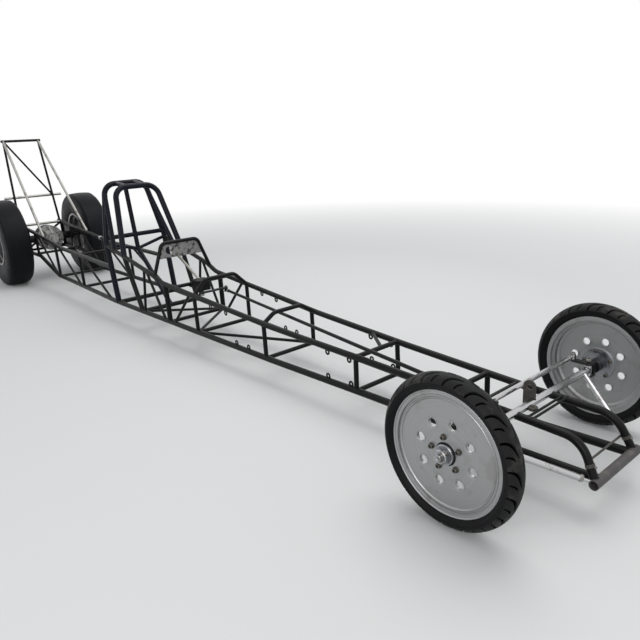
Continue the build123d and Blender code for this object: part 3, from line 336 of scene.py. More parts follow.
finishOf = {
    framePaint: ("lower_rail_right", "lower_rail_left", "upper_rail_right", "upper_rail_left",
                 "bay_rail_right", "bay_rail_left", "side_posts_right", "side_posts_left",
                 "side_braces_right", "side_braces_left", "bay_posts_right", "bay_posts_left",
                 "belly_tubes", "top_tubes", "rear_cross_tubes", "axle_plates", "wing_frame", "dash_hoop"),
    cagePaint: ("rear_hoop", "front_hoop", "cage_bars"),
    nosePrimer: ("nose_tube",),
    dashSheet: ("dash_panel",),
    plateSteel: ("axle_tab",),
    brightRod: ("front_axle", "radius_rods", "tie_rod"),
    blackLink: ("drag_link",),
    nickelStrut: ("wing_struts",),
    zincSteel: ("steering_shaft",),
    darkSteel: ("spindle_right", "spindle_left", "pitman_arm", "rear_axle_shaft"),
    housingPaint: ("axle_housing", "steering_box"),
    castAluminium: ("pinion_carrier",),
}
for side in wheelSpots:
    finishOf[spunRim[side]] = (f"front_rim_{side}",)
    finishOf[machinedHub[side]] = (f"front_hub_{side}",)
    finishOf[frontRubber[side]] = (f"front_tyre_{side}",)
    finishOf[slickRim[side]] = (f"rear_rim_{side}",)
    finishOf[slickRubber[side]] = (f"rear_tyre_{side}",)
for material, names in finishOf.items():
    for name in names:
        nodes[name].data.materials.clear()
        nodes[name].data.materials.append(material)
        nodes[name].data.polygons.foreach_set("material_index", [0] * len(nodes[name].data.polygons))
print("frame dressed")


# mesh helpers
def keepMesh(name, mesh, body, slotName, *materials):
    piece = bpy.data.objects.new(name, mesh)
    scene.collection.objects.link(piece)
    # clearing also sets every face back to the first material, so it is done only where there are some
    if len(mesh.materials):
        mesh.materials.clear()
    for material in materials:
        mesh.materials.append(material)
    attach(piece, body)
    return piece


def hiddenPart(name, mesh):
    part = bpy.data.objects.new(name, mesh)
    scene.collection.objects.link(part)
    part.hide_render = True
    return part


def smoothed(mesh, degrees=35):
    mesh.shade_smooth()
    mesh.set_sharp_from_angle(angle=math.radians(degrees))
    return mesh


def plainMesh(made, name):
    # ends the work on a bmesh, with all its faces outward
    bmesh.ops.recalc_face_normals(made, faces=made.faces)
    mesh = bpy.data.meshes.new(name)
    made.to_mesh(mesh)
    made.free()
    return mesh


def bridge(made, a, b):
    faces = []
    for k in range(len(a)):
        n = (k + 1) % len(a)
        faces.append(made.faces.new((a[k], a[n], b[n], b[k])))
    return faces


def ringOf(made, radii, height, start=0.0):
    # corners round the Z axis, each with its own radius
    turns = [2 * math.pi * (k + start) / len(radii) for k in range(len(radii))]
    return [made.verts.new((r * math.cos(a), r * math.sin(a), height)) for r, a in zip(radii, turns)]


def capped(made, loops):
    for a, b in zip(loops, loops[1:]):
        bridge(made, a, b)
    made.faces.new(list(reversed(loops[0])))
    made.faces.new(loops[-1])


def turned(profile, segments):
    # (out along the axle, radius) points spun round the Y axis
    made = bmesh.new()
    rings = []
    for step in range(segments):
        angle = 2 * math.pi * step / segments
        rings.append([made.verts.new((r * math.cos(angle), w, r * math.sin(angle))) for w, r in profile])
    for a, b in zip(rings, rings[1:] + rings[:1]):
        bridge(made, a, b)
    bmesh.ops.remove_doubles(made, verts=made.verts, dist=1e-6)
    bmesh.ops.delete(made, geom=[e for e in made.edges if not e.link_faces], context="EDGES")
    return smoothed(plainMesh(made, "turned"))


# sign of Y outward on each side
outward = {"right": -1, "left": 1}


def atWheel(mesh, centre, side):
    # a mesh made with +Y outward is turned over for the right side
    turn = Matrix.Rotation(math.pi, 4, "X") if outward[side] < 0 else Matrix()
    mesh.transform(Matrix.Translation(centre) @ turn)
    return mesh


# front tyres: sickle grooves run in from each shoulder and turn along the crown
treadForm = {
    "radius": 0.288,
    "half": 0.045,
    "bead": 0.0235,
    "flange": 0.232,
    "beadRadius": 0.218,
    "wall": 0.008,
    "pitches": 18,
    "wornTo": 0.93,
    "steps": 52,
    # how far round a groove runs between shoulder and crown, in pitches, and how soon it turns
    "sweep": 0.95,
    "bend": 0.24,
    # width of the band on the crown in which one half comes to lie half a pitch further round
    "stagger": 0.008,
    # a groove's run in and out, its width share there, its most stretch and its floor's width share
    "runIn": 0.06,
    "narrow": 0.35,
    "maxStretch": 3.2,
    "floorShare": 0.62,
    # inner side: half width between the beads, place and depth of the corners under the crown
    "beadGap": 0.013,
    "innerCorner": (0.024, 0.014),
    "longGroove": {"place": 0.50, "width": 0.100, "depth": 0.0058, "from": 0.10, "to": 0.97},
    "shortGroove": {"place": 0.98, "width": 0.074, "depth": 0.0046, "from": 0.36, "to": 0.90},
}
# sidewall outline: (out from the bead, up from the flange)
sidewall = [(0.0, -0.014), (0.0, -0.001), (0.0015, 0.0015), (0.0060, 0.0035), (0.0075, 0.0030),
            (0.0125, 0.0075), (0.0130, 0.0090), (0.0150, 0.0108), (0.0190, 0.0170), (0.0185, 0.0182),
            (0.0200, 0.0220)]


def clamped(value):
    return max(0.0, min(1.0, value))


def treadMesh(t, turnWay):
    widest = (t["flange"] + t["radius"]) / 2
    sag = t["radius"] - widest
    arcRadius = (t["half"] ** 2 + sag ** 2) / (2 * sag)
    arcMiddle = t["radius"] - arcRadius
    reach = math.asin(t["half"] / arcRadius)
    outside = [(-t["bead"] - w, t["flange"] + r, 1.0) for w, r in sidewall]
    for k in range(t["steps"] + 1):
        share = -1 + 2 * k / t["steps"]
        outside.append((arcRadius * math.sin(reach * share), arcMiddle + arcRadius * math.cos(reach * share),
                        abs(share)))
    outside += [(t["bead"] + w, t["flange"] + r, 1.0) for w, r in reversed(sidewall)]
    cornerOut, cornerDrop = t["innerCorner"]
    halfInside = [(t["beadGap"], t["beadRadius"]), (t["half"] - t["wall"], widest),
                  (cornerOut, t["radius"] - cornerDrop)]
    inside = halfInside + [(0, t["radius"] - t["wall"])] + [(-w, r) for w, r in reversed(halfInside)]
    pitchLength = 2 * math.pi * t["radius"] / t["pitches"]

    def columnsAt(spot):
        # (place along the pitch, depth) of each column where the tread is this far from its crown
        slope = t["sweep"] * pitchLength / (t["bend"] * t["half"]) * math.exp(-spot / t["bend"])
        stretch = math.sqrt(1 + slope ** 2)
        found = []
        for groove in (t["longGroove"], t["shortGroove"]):
            opened = clamped(min(spot - groove["from"], groove["to"] - spot) / t["runIn"])
            half = groove["width"] * min(stretch, t["maxStretch"]) / 2
            half *= t["narrow"] + (1 - t["narrow"]) * opened
            found += [(groove["place"] + half * edge, groove["depth"] * opened * floor)
                      for edge, floor in ((-1, 0), (-t["floorShare"], 1), (t["floorShare"], 1), (1, 0))]
        long, short = found[:4], found[4:]
        gapA = (long[0][0] - (short[3][0] - 1)) / 3
        gapB = (short[0][0] - long[3][0]) / 3
        lands = [(short[3][0] - 1 + gapA * k, 0) for k in (1, 2)]
        between = [(long[3][0] + gapB * k, 0) for k in (1, 2)]
        return lands + long + between + short

    made = bmesh.new()
    columns = []
    perPitch = len(columnsAt(0.5))
    for pitch in range(t["pitches"]):
        for index in range(perPitch):
            column = []
            for w, r, spot in outside:
                along, depth = columnsAt(spot)[index]
                shift = t["sweep"] * math.exp(-spot / t["bend"]) + 0.5 * clamped(0.5 - w / t["stagger"])
                angle = turnWay * 2 * math.pi * (pitch + along + shift) / t["pitches"]
                outward = Vector((w, r - arcMiddle)).normalized()
                lowered = r - depth * outward.y
                column.append(made.verts.new((lowered * math.cos(angle), w - depth * outward.x,
                                              lowered * math.sin(angle))))
            for w, r in inside:
                shift = t["sweep"] * math.exp(-1 / t["bend"]) + 0.5 * clamped(0.5 - w / t["beadGap"] / 2)
                angle = turnWay * 2 * math.pi * (pitch + columnsAt(1.0)[index][0] + shift) / t["pitches"]
                column.append(made.verts.new((r * math.cos(angle), w, r * math.sin(angle))))
            columns.append(column)
    grooved = range(len(sidewall), len(sidewall) + t["steps"])
    for k, column in enumerate(columns):
        for j, face in enumerate(bridge(made, column, columns[(k + 1) % len(columns)])):
            if j in grooved:
                share = abs(2 * (j - len(sidewall)) / t["steps"] - 1)
                # columns 3 and 9 of each pitch are where a groove's floor starts
                groove = {3: t["longGroove"], 9: t["shortGroove"]}.get(k % perPitch)
                if groove and groove["from"] < share < groove["to"]:
                    # groove floors take the near-black rubber: painted shade
                    face.material_index = 1
                elif share < t["wornTo"]:
                    face.material_index = 2
    return smoothed(plainMesh(made, "tread"), 28)


for side, centre in wheelSpots.items():
    tyre = keepMesh(f"treadedTyre_{side}", atWheel(treadMesh(treadForm, -outward[side]), centre, side),
                    f"front_wheel_{side}", "front_rubber", frontRubber[side], shadedGrooveRubber, wornRubber)
    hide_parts(f"front_tyre_{side}")
print("front tyres ready")


# fasteners: one mesh each of about unit size, set on points by a node tree
def nutMesh(across, height, bore):
    made = bmesh.new()
    corner = across / math.sqrt(3)
    rows = [(corner * 0.88, 0), (corner, height * 0.12), (corner, height * 0.88), (corner * 0.88, height),
            (bore, height), (bore, height * 0.3)]
    capped(made, [ringOf(made, [r] * 6, z, 0.5) for r, z in rows])
    return plainMesh(made, "nut")


def capScrewMesh(radius, height, socket, count=18):
    made = bmesh.new()
    rows = [(radius * 1.35, 0), (radius * 1.35, height * 0.16), (radius * 1.02, height * 0.17),
            (radius, height * 0.2), (radius, height * 0.88), (radius * 0.9, height)]
    loops = [ringOf(made, [r] * count, z) for r, z in rows]
    turns = [(2 * math.pi * k / count) % (math.pi / 3) - math.pi / 6 for k in range(count)]
    hexagon = [socket / math.cos(a) for a in turns]
    capped(made, loops + [ringOf(made, hexagon, z) for z in (height, height * 0.45)])
    return plainMesh(made, "capScrew")


def alignedTo(tree, direction):
    made = place(tree, "FunctionNodeAlignRotationToVector", {"Vector": direction}, axis="Z")
    return made.outputs["Rotation"]


def setCopies(tree, points, shape, finish, turnAndScale):
    # ends a tree: copies of an object on its points, made real, in their finish
    info = place(tree, "GeometryNodeObjectInfo", {"Object": shape})
    spread = place(tree, "GeometryNodeInstanceOnPoints",
                   {"Points": points, "Instance": info.outputs["Geometry"], **turnAndScale})
    solid = place(tree, "GeometryNodeRealizeInstances", {"Geometry": spread.outputs["Instances"]})
    dressed = place(tree, "GeometryNodeSetMaterial", {"Geometry": solid.outputs["Geometry"],
                                                      "Material": finish})
    place(tree, "NodeGroupOutput", {"Mesh": dressed.outputs["Geometry"]})
    return tree


def makeFastenerTree():
    tree, start = newTree("setFasteners", "GeometryNodeTree",
                          {"Points": "Geometry", "Fastener": "Object", "Size": 1.0, "Finish": "Material"},
                          {"Mesh": "Geometry"})
    axis = place(tree, "GeometryNodeInputNamedAttribute", {"Name": "axis"}, data_type="FLOAT_VECTOR")
    return setCopies(tree, start["Points"], start["Fastener"], start["Finish"],
                     {"Rotation": alignedTo(tree, axis.outputs["Attribute"]), "Scale": start["Size"]})


def grown(base, tree, values):
    # runs a node tree on a base mesh and keeps the plain mesh
    carrier = bpy.data.objects.new("carrier", base)
    scene.collection.objects.link(carrier)
    modifier = carrier.modifiers.new("grow", "NODES")
    modifier.node_group = tree
    for item in tree.interface.items_tree:
        if item.in_out == "INPUT" and item.name in values:
            modifier[item.identifier] = values[item.name]
    mesh = bpy.data.meshes.new_from_object(carrier.evaluated_get(bpy.context.evaluated_depsgraph_get()))
    bpy.data.objects.remove(carrier)
    return mesh


fastenerTree = makeFastenerTree()
hexNut = hiddenPart("hexNutShape", nutMesh(1.0, 0.5, 0.28))
capScrew = hiddenPart("capScrewShape", capScrewMesh(0.5, 0.62, 0.26))


def fasteners(name, shape, size, spots, body, slotName, material):
    base = bpy.data.meshes.new("spots")
    base.from_pydata([s[0] for s in spots], [], [])
    axis = base.attributes.new("axis", "FLOAT_VECTOR", "POINT")
    axis.data.foreach_set("vector", [c for s in spots for c in s[1]])
    mesh = grown(base, fastenerTree, {"Fastener": shape, "Size": size, "Finish": material})
    return keepMesh(name, smoothed(mesh, 30), body, slotName, material)


def ringSpots(centre, axis, radius, count, turn=0.0):
    axis = Vector(axis).normalized()
    across = axis.orthogonal() if abs(axis.y) < 0.9 else Vector((1, 0, 0))
    up = axis.cross(across).normalized()
    across = up.cross(axis)
    spots = []
    for k in range(count):
        angle = turn + 2 * math.pi * k / count
        around = across * math.cos(angle) + up * math.sin(angle)
        spots.append((Vector(centre) + around * radius, axis))
    return spots


# front wheels: turned hub and cap, screws and their nuts, rolled lips in the disc's holes, rim beads
wheelTrim = {
    "screws": 5,
    "screwCircle": 0.062,
    "screwTurn": 26.6,
    "screwSize": 0.0180,
    "nutSize": 0.017,
    "holes": 8,
    "holeCircle": 0.115,
    "holeTurn": 31.0,
    "holeRadius": 0.0175,
    "discFace": 0.020,
    "barrelEnd": 0.007,
    "barrelRadius": 0.031,
    # rolled lip of the rim: its middle (out, radius), its own radius and its sides
    "lipMiddle": (0.0272, 0.2312),
    "lipRadius": 0.0040,
    "lipSides": 12,
}
# hub outline from its inner end round to the cap: (out, radius)
hubLine = [(-0.030, 0.01205), (-0.030, 0.0288), (-0.0288, 0.030), (0.007, 0.030), (0.007, 0.0752),
           (0.0078, 0.076), (0.015, 0.076), (0.015, 0.038), (0.0307, 0.038), (0.032, 0.0367),
           (0.032, 0.0330), (0.0302, 0.0310), (0.0296, 0.027), (0.0478, 0.027),
           (0.0482, 0.0262), (0.0490, 0.0262), (0.0494, 0.027), (0.0508, 0.027), (0.054, 0.0238),
           (0.054, 0.0168), (0.0546, 0.016), (0.0648, 0.016), (0.066, 0.0148), (0.066, 0.0060),
           (0.0645, 0.0040), (0.0645, 0.0), (0.050, 0.0), (0.050, 0.01205)]


def holeLipMesh(h):
    profile = [(0.0006, h + 0.0060), (0.0002, h + 0.0034), (-0.0010, h + 0.0010), (-0.0035, h - 0.0004),
               (-0.0120, h - 0.0009), (-0.0120, h + 0.0006), (-0.0035, h + 0.0012), (-0.0012, h + 0.0034),
               (-0.0008, h + 0.0060)]
    return turned(profile, segments=32)


def makeLipTree():
    tree, start = newTree("setLips", "GeometryNodeTree",
                          {"Points": "Geometry", "Lip": "Object", "Count": "Int", "Circle": 1.0,
                           "Finish": "Material"}, {"Mesh": "Geometry"})
    circle = place(tree, "GeometryNodeMeshCircle", {"Vertices": start["Count"], "Radius": start["Circle"]})
    step = tree.nodes.new("GeometryNodeInputIndex")
    share = calc(tree, "DIVIDE", step.outputs[0], start["Count"])
    facing = place(tree, "ShaderNodeCombineXYZ", {"Z": calc(tree, "MULTIPLY", share, 2 * math.pi)})
    return setCopies(tree, circle.outputs["Mesh"], start["Lip"], start["Finish"],
                     {"Rotation": facing.outputs[0]})


lipTree = makeLipTree()
lipMesh = holeLipMesh(wheelTrim["holeRadius"])
lipMesh.transform(Matrix.Rotation(math.radians(90), 4, "X"))  # its axis now runs along Z
holeLip = hiddenPart("holeLipShape", lipMesh)
lipOut, lipUp = wheelTrim["lipMiddle"]
lipRadius = wheelTrim["lipRadius"]
lipTurns = [2 * math.pi * k / wheelTrim["lipSides"] for k in range(wheelTrim["lipSides"])]
rimBeads = {
    "rolledLip": [(lipOut + lipRadius * math.cos(a), lipUp + lipRadius * math.sin(a)) for a in lipTurns],
    "rimStep": [(0.0270, 0.2185), (0.0292, 0.2170), (0.0292, 0.2146), (0.0270, 0.2136), (0.0245, 0.2146),
                (0.0245, 0.2170)],
    # a dark ring round the bore stands in for the shadowed gap between disc and collar: painted shadow
    "boreRing": [(0.0196, 0.0378), (0.0196, 0.0432), (0.0208, 0.0428), (0.0214, 0.0412), (0.0214, 0.0384)],
    "plateEdge": [(0.0195, 0.0815), (0.0195, 0.0780), (0.0206, 0.0784), (0.0209, 0.0796), (0.0206, 0.0809)],
    "discEdge": [(0.0225, 0.2070), (0.0243, 0.2052), (0.0243, 0.2020), (0.0222, 0.1990), (0.0195, 0.1980),
                 (0.0190, 0.2010)],
}
for side, centre in wheelSpots.items():
    sign, body = outward[side], f"front_wheel_{side}"
    out = Vector((0, sign, 0))
    screwTurn = -sign * math.radians(wheelTrim["screwTurn"])
    screwSpots = ringSpots(Vector(centre) + out * wheelTrim["discFace"], out, wheelTrim["screwCircle"],
                           wheelTrim["screws"], screwTurn)
    fasteners(f"wheelScrews_{side}", capScrew, wheelTrim["screwSize"], screwSpots, body, "dark_steel",
              dullBolt)
    lips = grown(bpy.data.meshes.new("seed"), lipTree,
                 {"Lip": holeLip, "Count": wheelTrim["holes"], "Circle": wheelTrim["holeCircle"],
                  "Finish": spunRim[side]})
    lips.transform(Matrix.Translation((0, 0, wheelTrim["discFace"]))
                   @ Matrix.Rotation(-sign * math.radians(wheelTrim["holeTurn"]), 4, "Z"))
    lips.transform(Matrix.Rotation(math.radians(-90), 4, "X"))  # Z out becomes Y out
    keepMesh(f"holeLips_{side}", smoothed(atWheel(lips, centre, side), 50), body, "spun_aluminium",
             spunRim[side])
    for label, profile in rimBeads.items():
        keepMesh(f"{label}_{side}", atWheel(turned(profile, segments=128), centre, side), body,
                 "spun_aluminium", boreShadowPaint if label == "boreRing" else spunRim[side])
    hub = keepMesh(f"turnedHub_{side}", atWheel(turned(hubLine, segments=72), centre, side), body,
                   "spun_aluminium", machinedHub[side], darkSteel)
    for face in hub.data.polygons:
        inboard = sign * (face.center.y - centre[1]) < wheelTrim["barrelEnd"]
        away = math.hypot(face.center.x - centre[0], face.center.z - centre[2])
        face.material_index = int(inboard and away < wheelTrim["barrelRadius"])
    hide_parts(f"front_hub_{side}")
    nutSpots = ringSpots(Vector(centre) + out * wheelTrim["barrelEnd"], -out, wheelTrim["screwCircle"],
                         wheelTrim["screws"], -screwTurn)
    fasteners(f"screwEnds_{side}", hexNut, wheelTrim["nutSize"], nutSpots, body, "dark_steel", dullBolt)
print("front wheels trimmed")


# weld beads: wherever a coped tube end lies on its neighbour
weldBead = {
    "spacing": 0.0042,
    "size": 0.0027,
    "angle": 32.0,
    "near": 0.0009,
    "boxMargin": 0.002,
    "segments": 6,
    "rings": 4,
    "flatness": 0.75,
}
weldNodes = (*finishOf[framePaint], *finishOf[cagePaint], *finishOf[nosePrimer], *finishOf[plateSteel],
             "front_axle")


def looseCopy(name, mergeWithin=2e-5):
    made = bmesh.new()
    made.from_mesh(nodes[name].data)
    bmesh.ops.remove_doubles(made, verts=made.verts, dist=mergeWithin)
    made.normal_update()
    return made


def weldLines():
    copies = {name: looseCopy(name) for name in weldNodes}
    trees = {name: BVHTree.FromBMesh(made) for name, made in copies.items()}
    boxes = {name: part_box(name) for name in weldNodes}
    points, edges = [], []
    limit = math.radians(weldBead["angle"])
    margin = weldBead["boxMargin"]

    def touches(spot, own):
        for other, tree in trees.items():
            low, high = boxes[other]
            inBox = all(low[i] - margin <= spot[i] <= high[i] + margin for i in range(3))
            if other == own or not inBox:
                continue
            if tree.find_nearest(spot, weldBead["near"])[0] is not None:
                return True
        return False

    for name, made in copies.items():
        index = {}
        for edge in made.edges:
            if len(edge.link_faces) != 2 or edge.calc_face_angle(0.0) < limit:
                continue
            ends = [v.co for v in edge.verts]
            if edge.is_convex and not (touches(ends[0], name) and touches(ends[1], name)):
                continue
            for v in edge.verts:
                if v.index not in index:
                    index[v.index] = len(points)
                    points.append(tuple(v.co))
            edges.append((index[edge.verts[0].index], index[edge.verts[1].index]))
        made.free()
    base = bpy.data.meshes.new("weldLines")
    base.from_pydata(points, edges, [])
    return base


def makeWeldTree():
    tree, start = newTree("layBeads", "GeometryNodeTree",
                          {"Lines": "Geometry", "Bead": "Object", "Spacing": 1.0, "Size": 1.0,
                           "Finish": "Material"}, {"Mesh": "Geometry"})
    curve = place(tree, "GeometryNodeMeshToCurve", {"Mesh": start["Lines"]})
    steps = place(tree, "GeometryNodeResampleCurve", {"Curve": curve.outputs["Curve"]}, mode="LENGTH")
    feed(tree, steps.inputs["Length"], start["Spacing"])
    tangent = tree.nodes.new("GeometryNodeInputTangent")
    return setCopies(tree, steps.outputs["Curve"], start["Bead"], start["Finish"],
                     {"Rotation": alignedTo(tree, tangent.outputs["Tangent"]), "Scale": start["Size"]})


beadShape = bpy.data.meshes.new("beadShape")
seed = bmesh.new()
bmesh.ops.create_uvsphere(seed, u_segments=weldBead["segments"], v_segments=weldBead["rings"], radius=1.0)
bmesh.ops.scale(seed, vec=(1.0, 1.0, weldBead["flatness"]), verts=seed.verts)
seed.to_mesh(beadShape)
seed.free()
beads = grown(weldLines(), makeWeldTree(), {"Bead": hiddenPart("beadShape", beadShape),
                                            "Spacing": weldBead["spacing"], "Size": weldBead["size"],
                                            "Finish": weldMetal})
keepMesh("weldBeads", smoothed(beads, 60), "chassis", "frame_paint", weldMetal)
print("weld beads", len(beads.polygons))

# steering: nuts on the upright pins, as (place, axis, size)
pinNuts = {
    "spindle_right": [((2.885, -0.455, 0.363), (0, 0, 1), 0.022),
                      ((2.885, -0.455, 0.2544), (0, 0, -1), 0.024),
                      ((2.810, -0.455, 0.3436), (0, 0, 1), 0.018),
                      ((2.885, -0.270, 0.3854), (0, 0, 1), 0.018)],
    "spindle_left": [((2.885, 0.455, 0.3293), (0, 0, 1), 0.022),
                     ((2.885, 0.455, 0.2544), (0, 0, -1), 0.024),
                     ((2.810, 0.455, 0.3436), (0, 0, 1), 0.018)],
    "pitman_arm": [((0.415, 0.128, 0.355), (0, 0, 1), 0.018), ((0.415, -0.057, 0.345), (0, 0, -1), 0.026)],
}
for body, rows in pinNuts.items():
    for k, (spot, axis, size) in enumerate(rows):
        fasteners(f"pinNut_{body}_{k + 1}", hexNut, size, [(Vector(spot), Vector(axis))], body, "dark_steel",
                  zincSteel)

# rear axle: ring of nuts on the pinion carrier, wheel nuts
rearTrim = {
    "carrierFace": (-2.766, 0, 0.419),
    "carrierNuts": 10,
    "carrierCircle": 0.112,
    "carrierTurn": 18.0,
    "carrierNutSize": 0.016,
    "wheelNuts": 5,
    "wheelCircle": 0.057,
    "wheelFace": 0.361,
    "wheelNutSize": 0.022,
}
carrierSpots = ringSpots(rearTrim["carrierFace"], (1, 0, 0), rearTrim["carrierCircle"],
                         rearTrim["carrierNuts"], math.radians(rearTrim["carrierTurn"]))
fasteners("carrierNuts", hexNut, rearTrim["carrierNutSize"], carrierSpots, "chassis", "cast_aluminium",
          zincSteel)
for side, centre in rearSpots.items():
    sign = outward[side]
    nutSpots = ringSpots((centre[0], sign * rearTrim["wheelFace"], centre[2]), (0, sign, 0),
                         rearTrim["wheelCircle"], rearTrim["wheelNuts"])
    fasteners(f"wheelNuts_{side}", hexNut, rearTrim["wheelNutSize"], nutSpots, "rear_axle", "dark_steel",
              zincSteel)


# sleeves and clamps round tubes, lock nuts on threaded rods
def sleeve(name, start, finish, inner, wall, body, slotName, material, soft=0.0008):
    start, finish = Vector(start), Vector(finish)
    outer, long = inner + wall, (finish - start).length
    mesh = turned([(0, inner), (0, outer - soft), (soft, outer), (long - soft, outer), (long, outer - soft),
                   (long, inner)], segments=28)
    turn = Vector((0, 1, 0)).rotation_difference(finish - start).to_matrix().to_4x4()
    mesh.transform(Matrix.Translation(start) @ turn)
    return keepMesh(name, mesh, body, slotName, material)


def along(start, finish, distance):
    start, finish = Vector(start), Vector(finish)
    return start + (finish - start).normalized() * distance


tubeTrim = {
    "radiusRod": [(2.885, 0.412, 0.288), (3.235, 0.155, 0.138)],
    "rodShank": 0.062,
    "rodNut": 0.026,
    "tieRod": [(2.810, -0.455, 0.3326), (2.810, 0.455, 0.3326)],
    "dragLink": [(2.885, -0.270, 0.3743), (0.415, 0.128, 0.3337)],
    "linkShank": 0.042,
    "linkNut": 0.024,
    "strut": [(-2.275, 0.2082, 0.4916), (-3.131, 0.167, 1.393)],
    "strutFoot": (0.020, 0.058),
    "strutRadius": 0.012,
    "strutWall": 0.0022,
    "noseClamp": [(3.1999, 0.1441, 0.1962), (3.2057, 0.1457, 0.1850)],
    "clampRadius": 0.016,
    "clampWall": 0.0020,
    # nut on each nose clamp: size, way along the clamp, lift off its bore and axis
    "clampNut": 0.011,
    "clampNutAlong": 0.006,
    "clampNutLift": 0.0015,
    "clampNutAxis": (1, 0, 0.2),
    "railClamp": [(-1.930, 0.2095, 0.4585), (-1.968, 0.2099, 0.4630)],
    "railRadius": 0.0175,
    "railWall": 0.0025,
}
for side, sign in outward.items():
    mirror = Vector((1, sign, 1))
    top, foot = (Vector(p) * mirror for p in tubeTrim["radiusRod"])
    nutSpot = along(foot, top, tubeTrim["rodShank"])
    fasteners(f"rodNut_{side}", hexNut, tubeTrim["rodNut"], [(nutSpot, (foot - top).normalized())],
              "chassis", "dark_steel", zincSteel)
    foot, top = (Vector(p) * mirror for p in tubeTrim["strut"])
    low, high = (along(foot, top, d) for d in tubeTrim["strutFoot"])
    sleeve(f"strutSleeve_{side}", low, high, tubeTrim["strutRadius"], tubeTrim["strutWall"], "chassis",
           "bright_rod", zincSteel)
    upper, lower = (Vector(p) * mirror for p in tubeTrim["noseClamp"])
    sleeve(f"noseClamp_{side}", upper, lower, tubeTrim["clampRadius"], tubeTrim["clampWall"], "chassis",
           "frame_paint", plateSteel)
    lift = Vector((tubeTrim["clampRadius"] + tubeTrim["clampNutLift"], 0, 0))
    nutSpot = along(upper, lower, tubeTrim["clampNutAlong"]) + lift
    fasteners(f"clampNut_{side}", hexNut, tubeTrim["clampNut"], [(nutSpot, tubeTrim["clampNutAxis"])],
              "chassis", "dark_steel", zincSteel)
front, back = tubeTrim["railClamp"]
sleeve("railClamp", front, back, tubeTrim["railRadius"], tubeTrim["railWall"], "chassis", "bright_rod",
       brightRod)
for label, body in (("tieRod", "tie_rod"), ("dragLink", "drag_link")):
    ends = [Vector(p) for p in tubeTrim[label]]
    spots = [(along(a, b, tubeTrim["linkShank"]), (a - b).normalized()) for a, b in (ends, reversed(ends))]
    fasteners(f"{label}Nuts", hexNut, tubeTrim["linkNut"], spots, body, "dark_steel", zincSteel)


# round-eyed tabs for body panels, under the upper rails and on the lower ones
bodyTab = {
    "half": 0.016,
    "hole": 0.0062,
    "reach": 0.028,
    "sheet": 0.0032,
    "sides": 24,
    # along the car, half width and height of the rail there, side of the rail that the tab is on
    "places": [(0.750, 0.195, 0.373, -1), (0.915, 0.189, 0.361, -1), (1.810, 0.155, 0.3155, -1),
               (1.965, 0.149, 0.309, -1), (1.000, 0.185, 0.134, 1), (1.120, 0.181, 0.132, 1),
               (1.810, 0.158, 0.130, 1), (1.975, 0.152, 0.130, 1)],
}


def tabMesh(t):
    made = bmesh.new()
    turns = [2 * math.pi * k / t["sides"] for k in range(t["sides"])]
    # round below the eye, square above it up to the rail
    edge = [min(t["half"] / max(abs(math.cos(a)), 1e-6), t["reach"] / math.sin(a)) if math.sin(a) > 0
            else t["half"] for a in turns]
    loops = [[made.verts.new((r * math.cos(a), y, r * math.sin(a))) for r, a in zip(radii, turns)]
             for y in (-t["sheet"] / 2, t["sheet"] / 2) for radii in (edge, [t["hole"]] * len(turns))]
    outerA, innerA, outerB, innerB = loops
    for a, b in ((outerA, outerB), (outerB, innerB), (innerB, innerA), (innerA, outerA)):
        bridge(made, a, b)
    return plainMesh(made, "tab")


tabShape = hiddenPart("tabShape", tabMesh(bodyTab))
tabSpots = [((x, sign * half, height + way * bodyTab["reach"]), (0, 0, -way))
            for x, half, height, way in bodyTab["places"] for sign in outward.values()]
fasteners("bodyTabs", tabShape, 1.0, tabSpots, "chassis", "frame_paint", framePaint)

# slicks: raised rings on the sidewalls, seated on the tyre's own surface
slickRing = {
    # radius and rise of each ring
    "rings": [(0.236, 0.0016), (0.262, 0.0010), (0.371, 0.0013), (0.381, 0.0009)],
    "sink": 0.001,
    # half width at the foot and at the top, as shares of the rise
    "foot": 2.0,
    "top": 0.7,
    "segments": 120,
    # distance beside the wheel's middle from which the tyre's surface is looked for
    "castFrom": 0.5,
}
for side, centre in rearSpots.items():
    sign = outward[side]
    wall = BVHTree.FromBMesh(looseCopy(f"rear_tyre_{side}"))
    joined = bmesh.new()
    for face in (1, -1):
        for radius, rise in slickRing["rings"]:
            start = Vector(centre) + Vector((radius, slickRing["castFrom"] * sign * face, 0))
            hit = wall.ray_cast(start, Vector((0, -sign * face, 0)))[0]
            w = sign * (hit.y - centre[1])
            low, high = w - slickRing["sink"] * face, w + rise * face
            foot, top = slickRing["foot"] * rise, slickRing["top"] * rise
            joined.from_mesh(turned([(low, radius - foot), (high, radius - top), (high, radius + top),
                                     (low, radius + foot)], slickRing["segments"]))
    rings = bpy.data.meshes.new("slickRings")
    joined.to_mesh(rings)
    joined.free()
    keepMesh(f"slickRings_{side}", smoothed(atWheel(rings, centre, side)), "rear_axle", "slick_rubber",
             slickRubber[side])


# bare tubes within painted nodes, found by their distance from a tube's middle line
def refinish(name, start, finish, radius, material):
    start, finish = Vector(start), Vector(finish)
    line = (finish - start).normalized()
    mesh = nodes[name].data
    mesh.materials.append(material)
    index = len(mesh.materials) - 1
    near = [((v.co - start) - line * (v.co - start).dot(line)).length < radius for v in mesh.vertices]
    for face in mesh.polygons:
        if all(near[v] for v in face.vertices):
            face.material_index = index


refinish("wing_frame", (-3.0794, -0.281, 0.830), (-3.0794, 0.281, 0.830), 0.0145, nickelStrut)
refinish("rear_cross_tubes", (-2.980, -0.2008, 0.5498), (-2.980, 0.2008, 0.5498), 0.0145, zincSteel)
refinish("top_tubes", (3.183, -0.140, 0.190), (3.183, 0.140, 0.190), 0.006, plateSteel)
print("fasteners set")

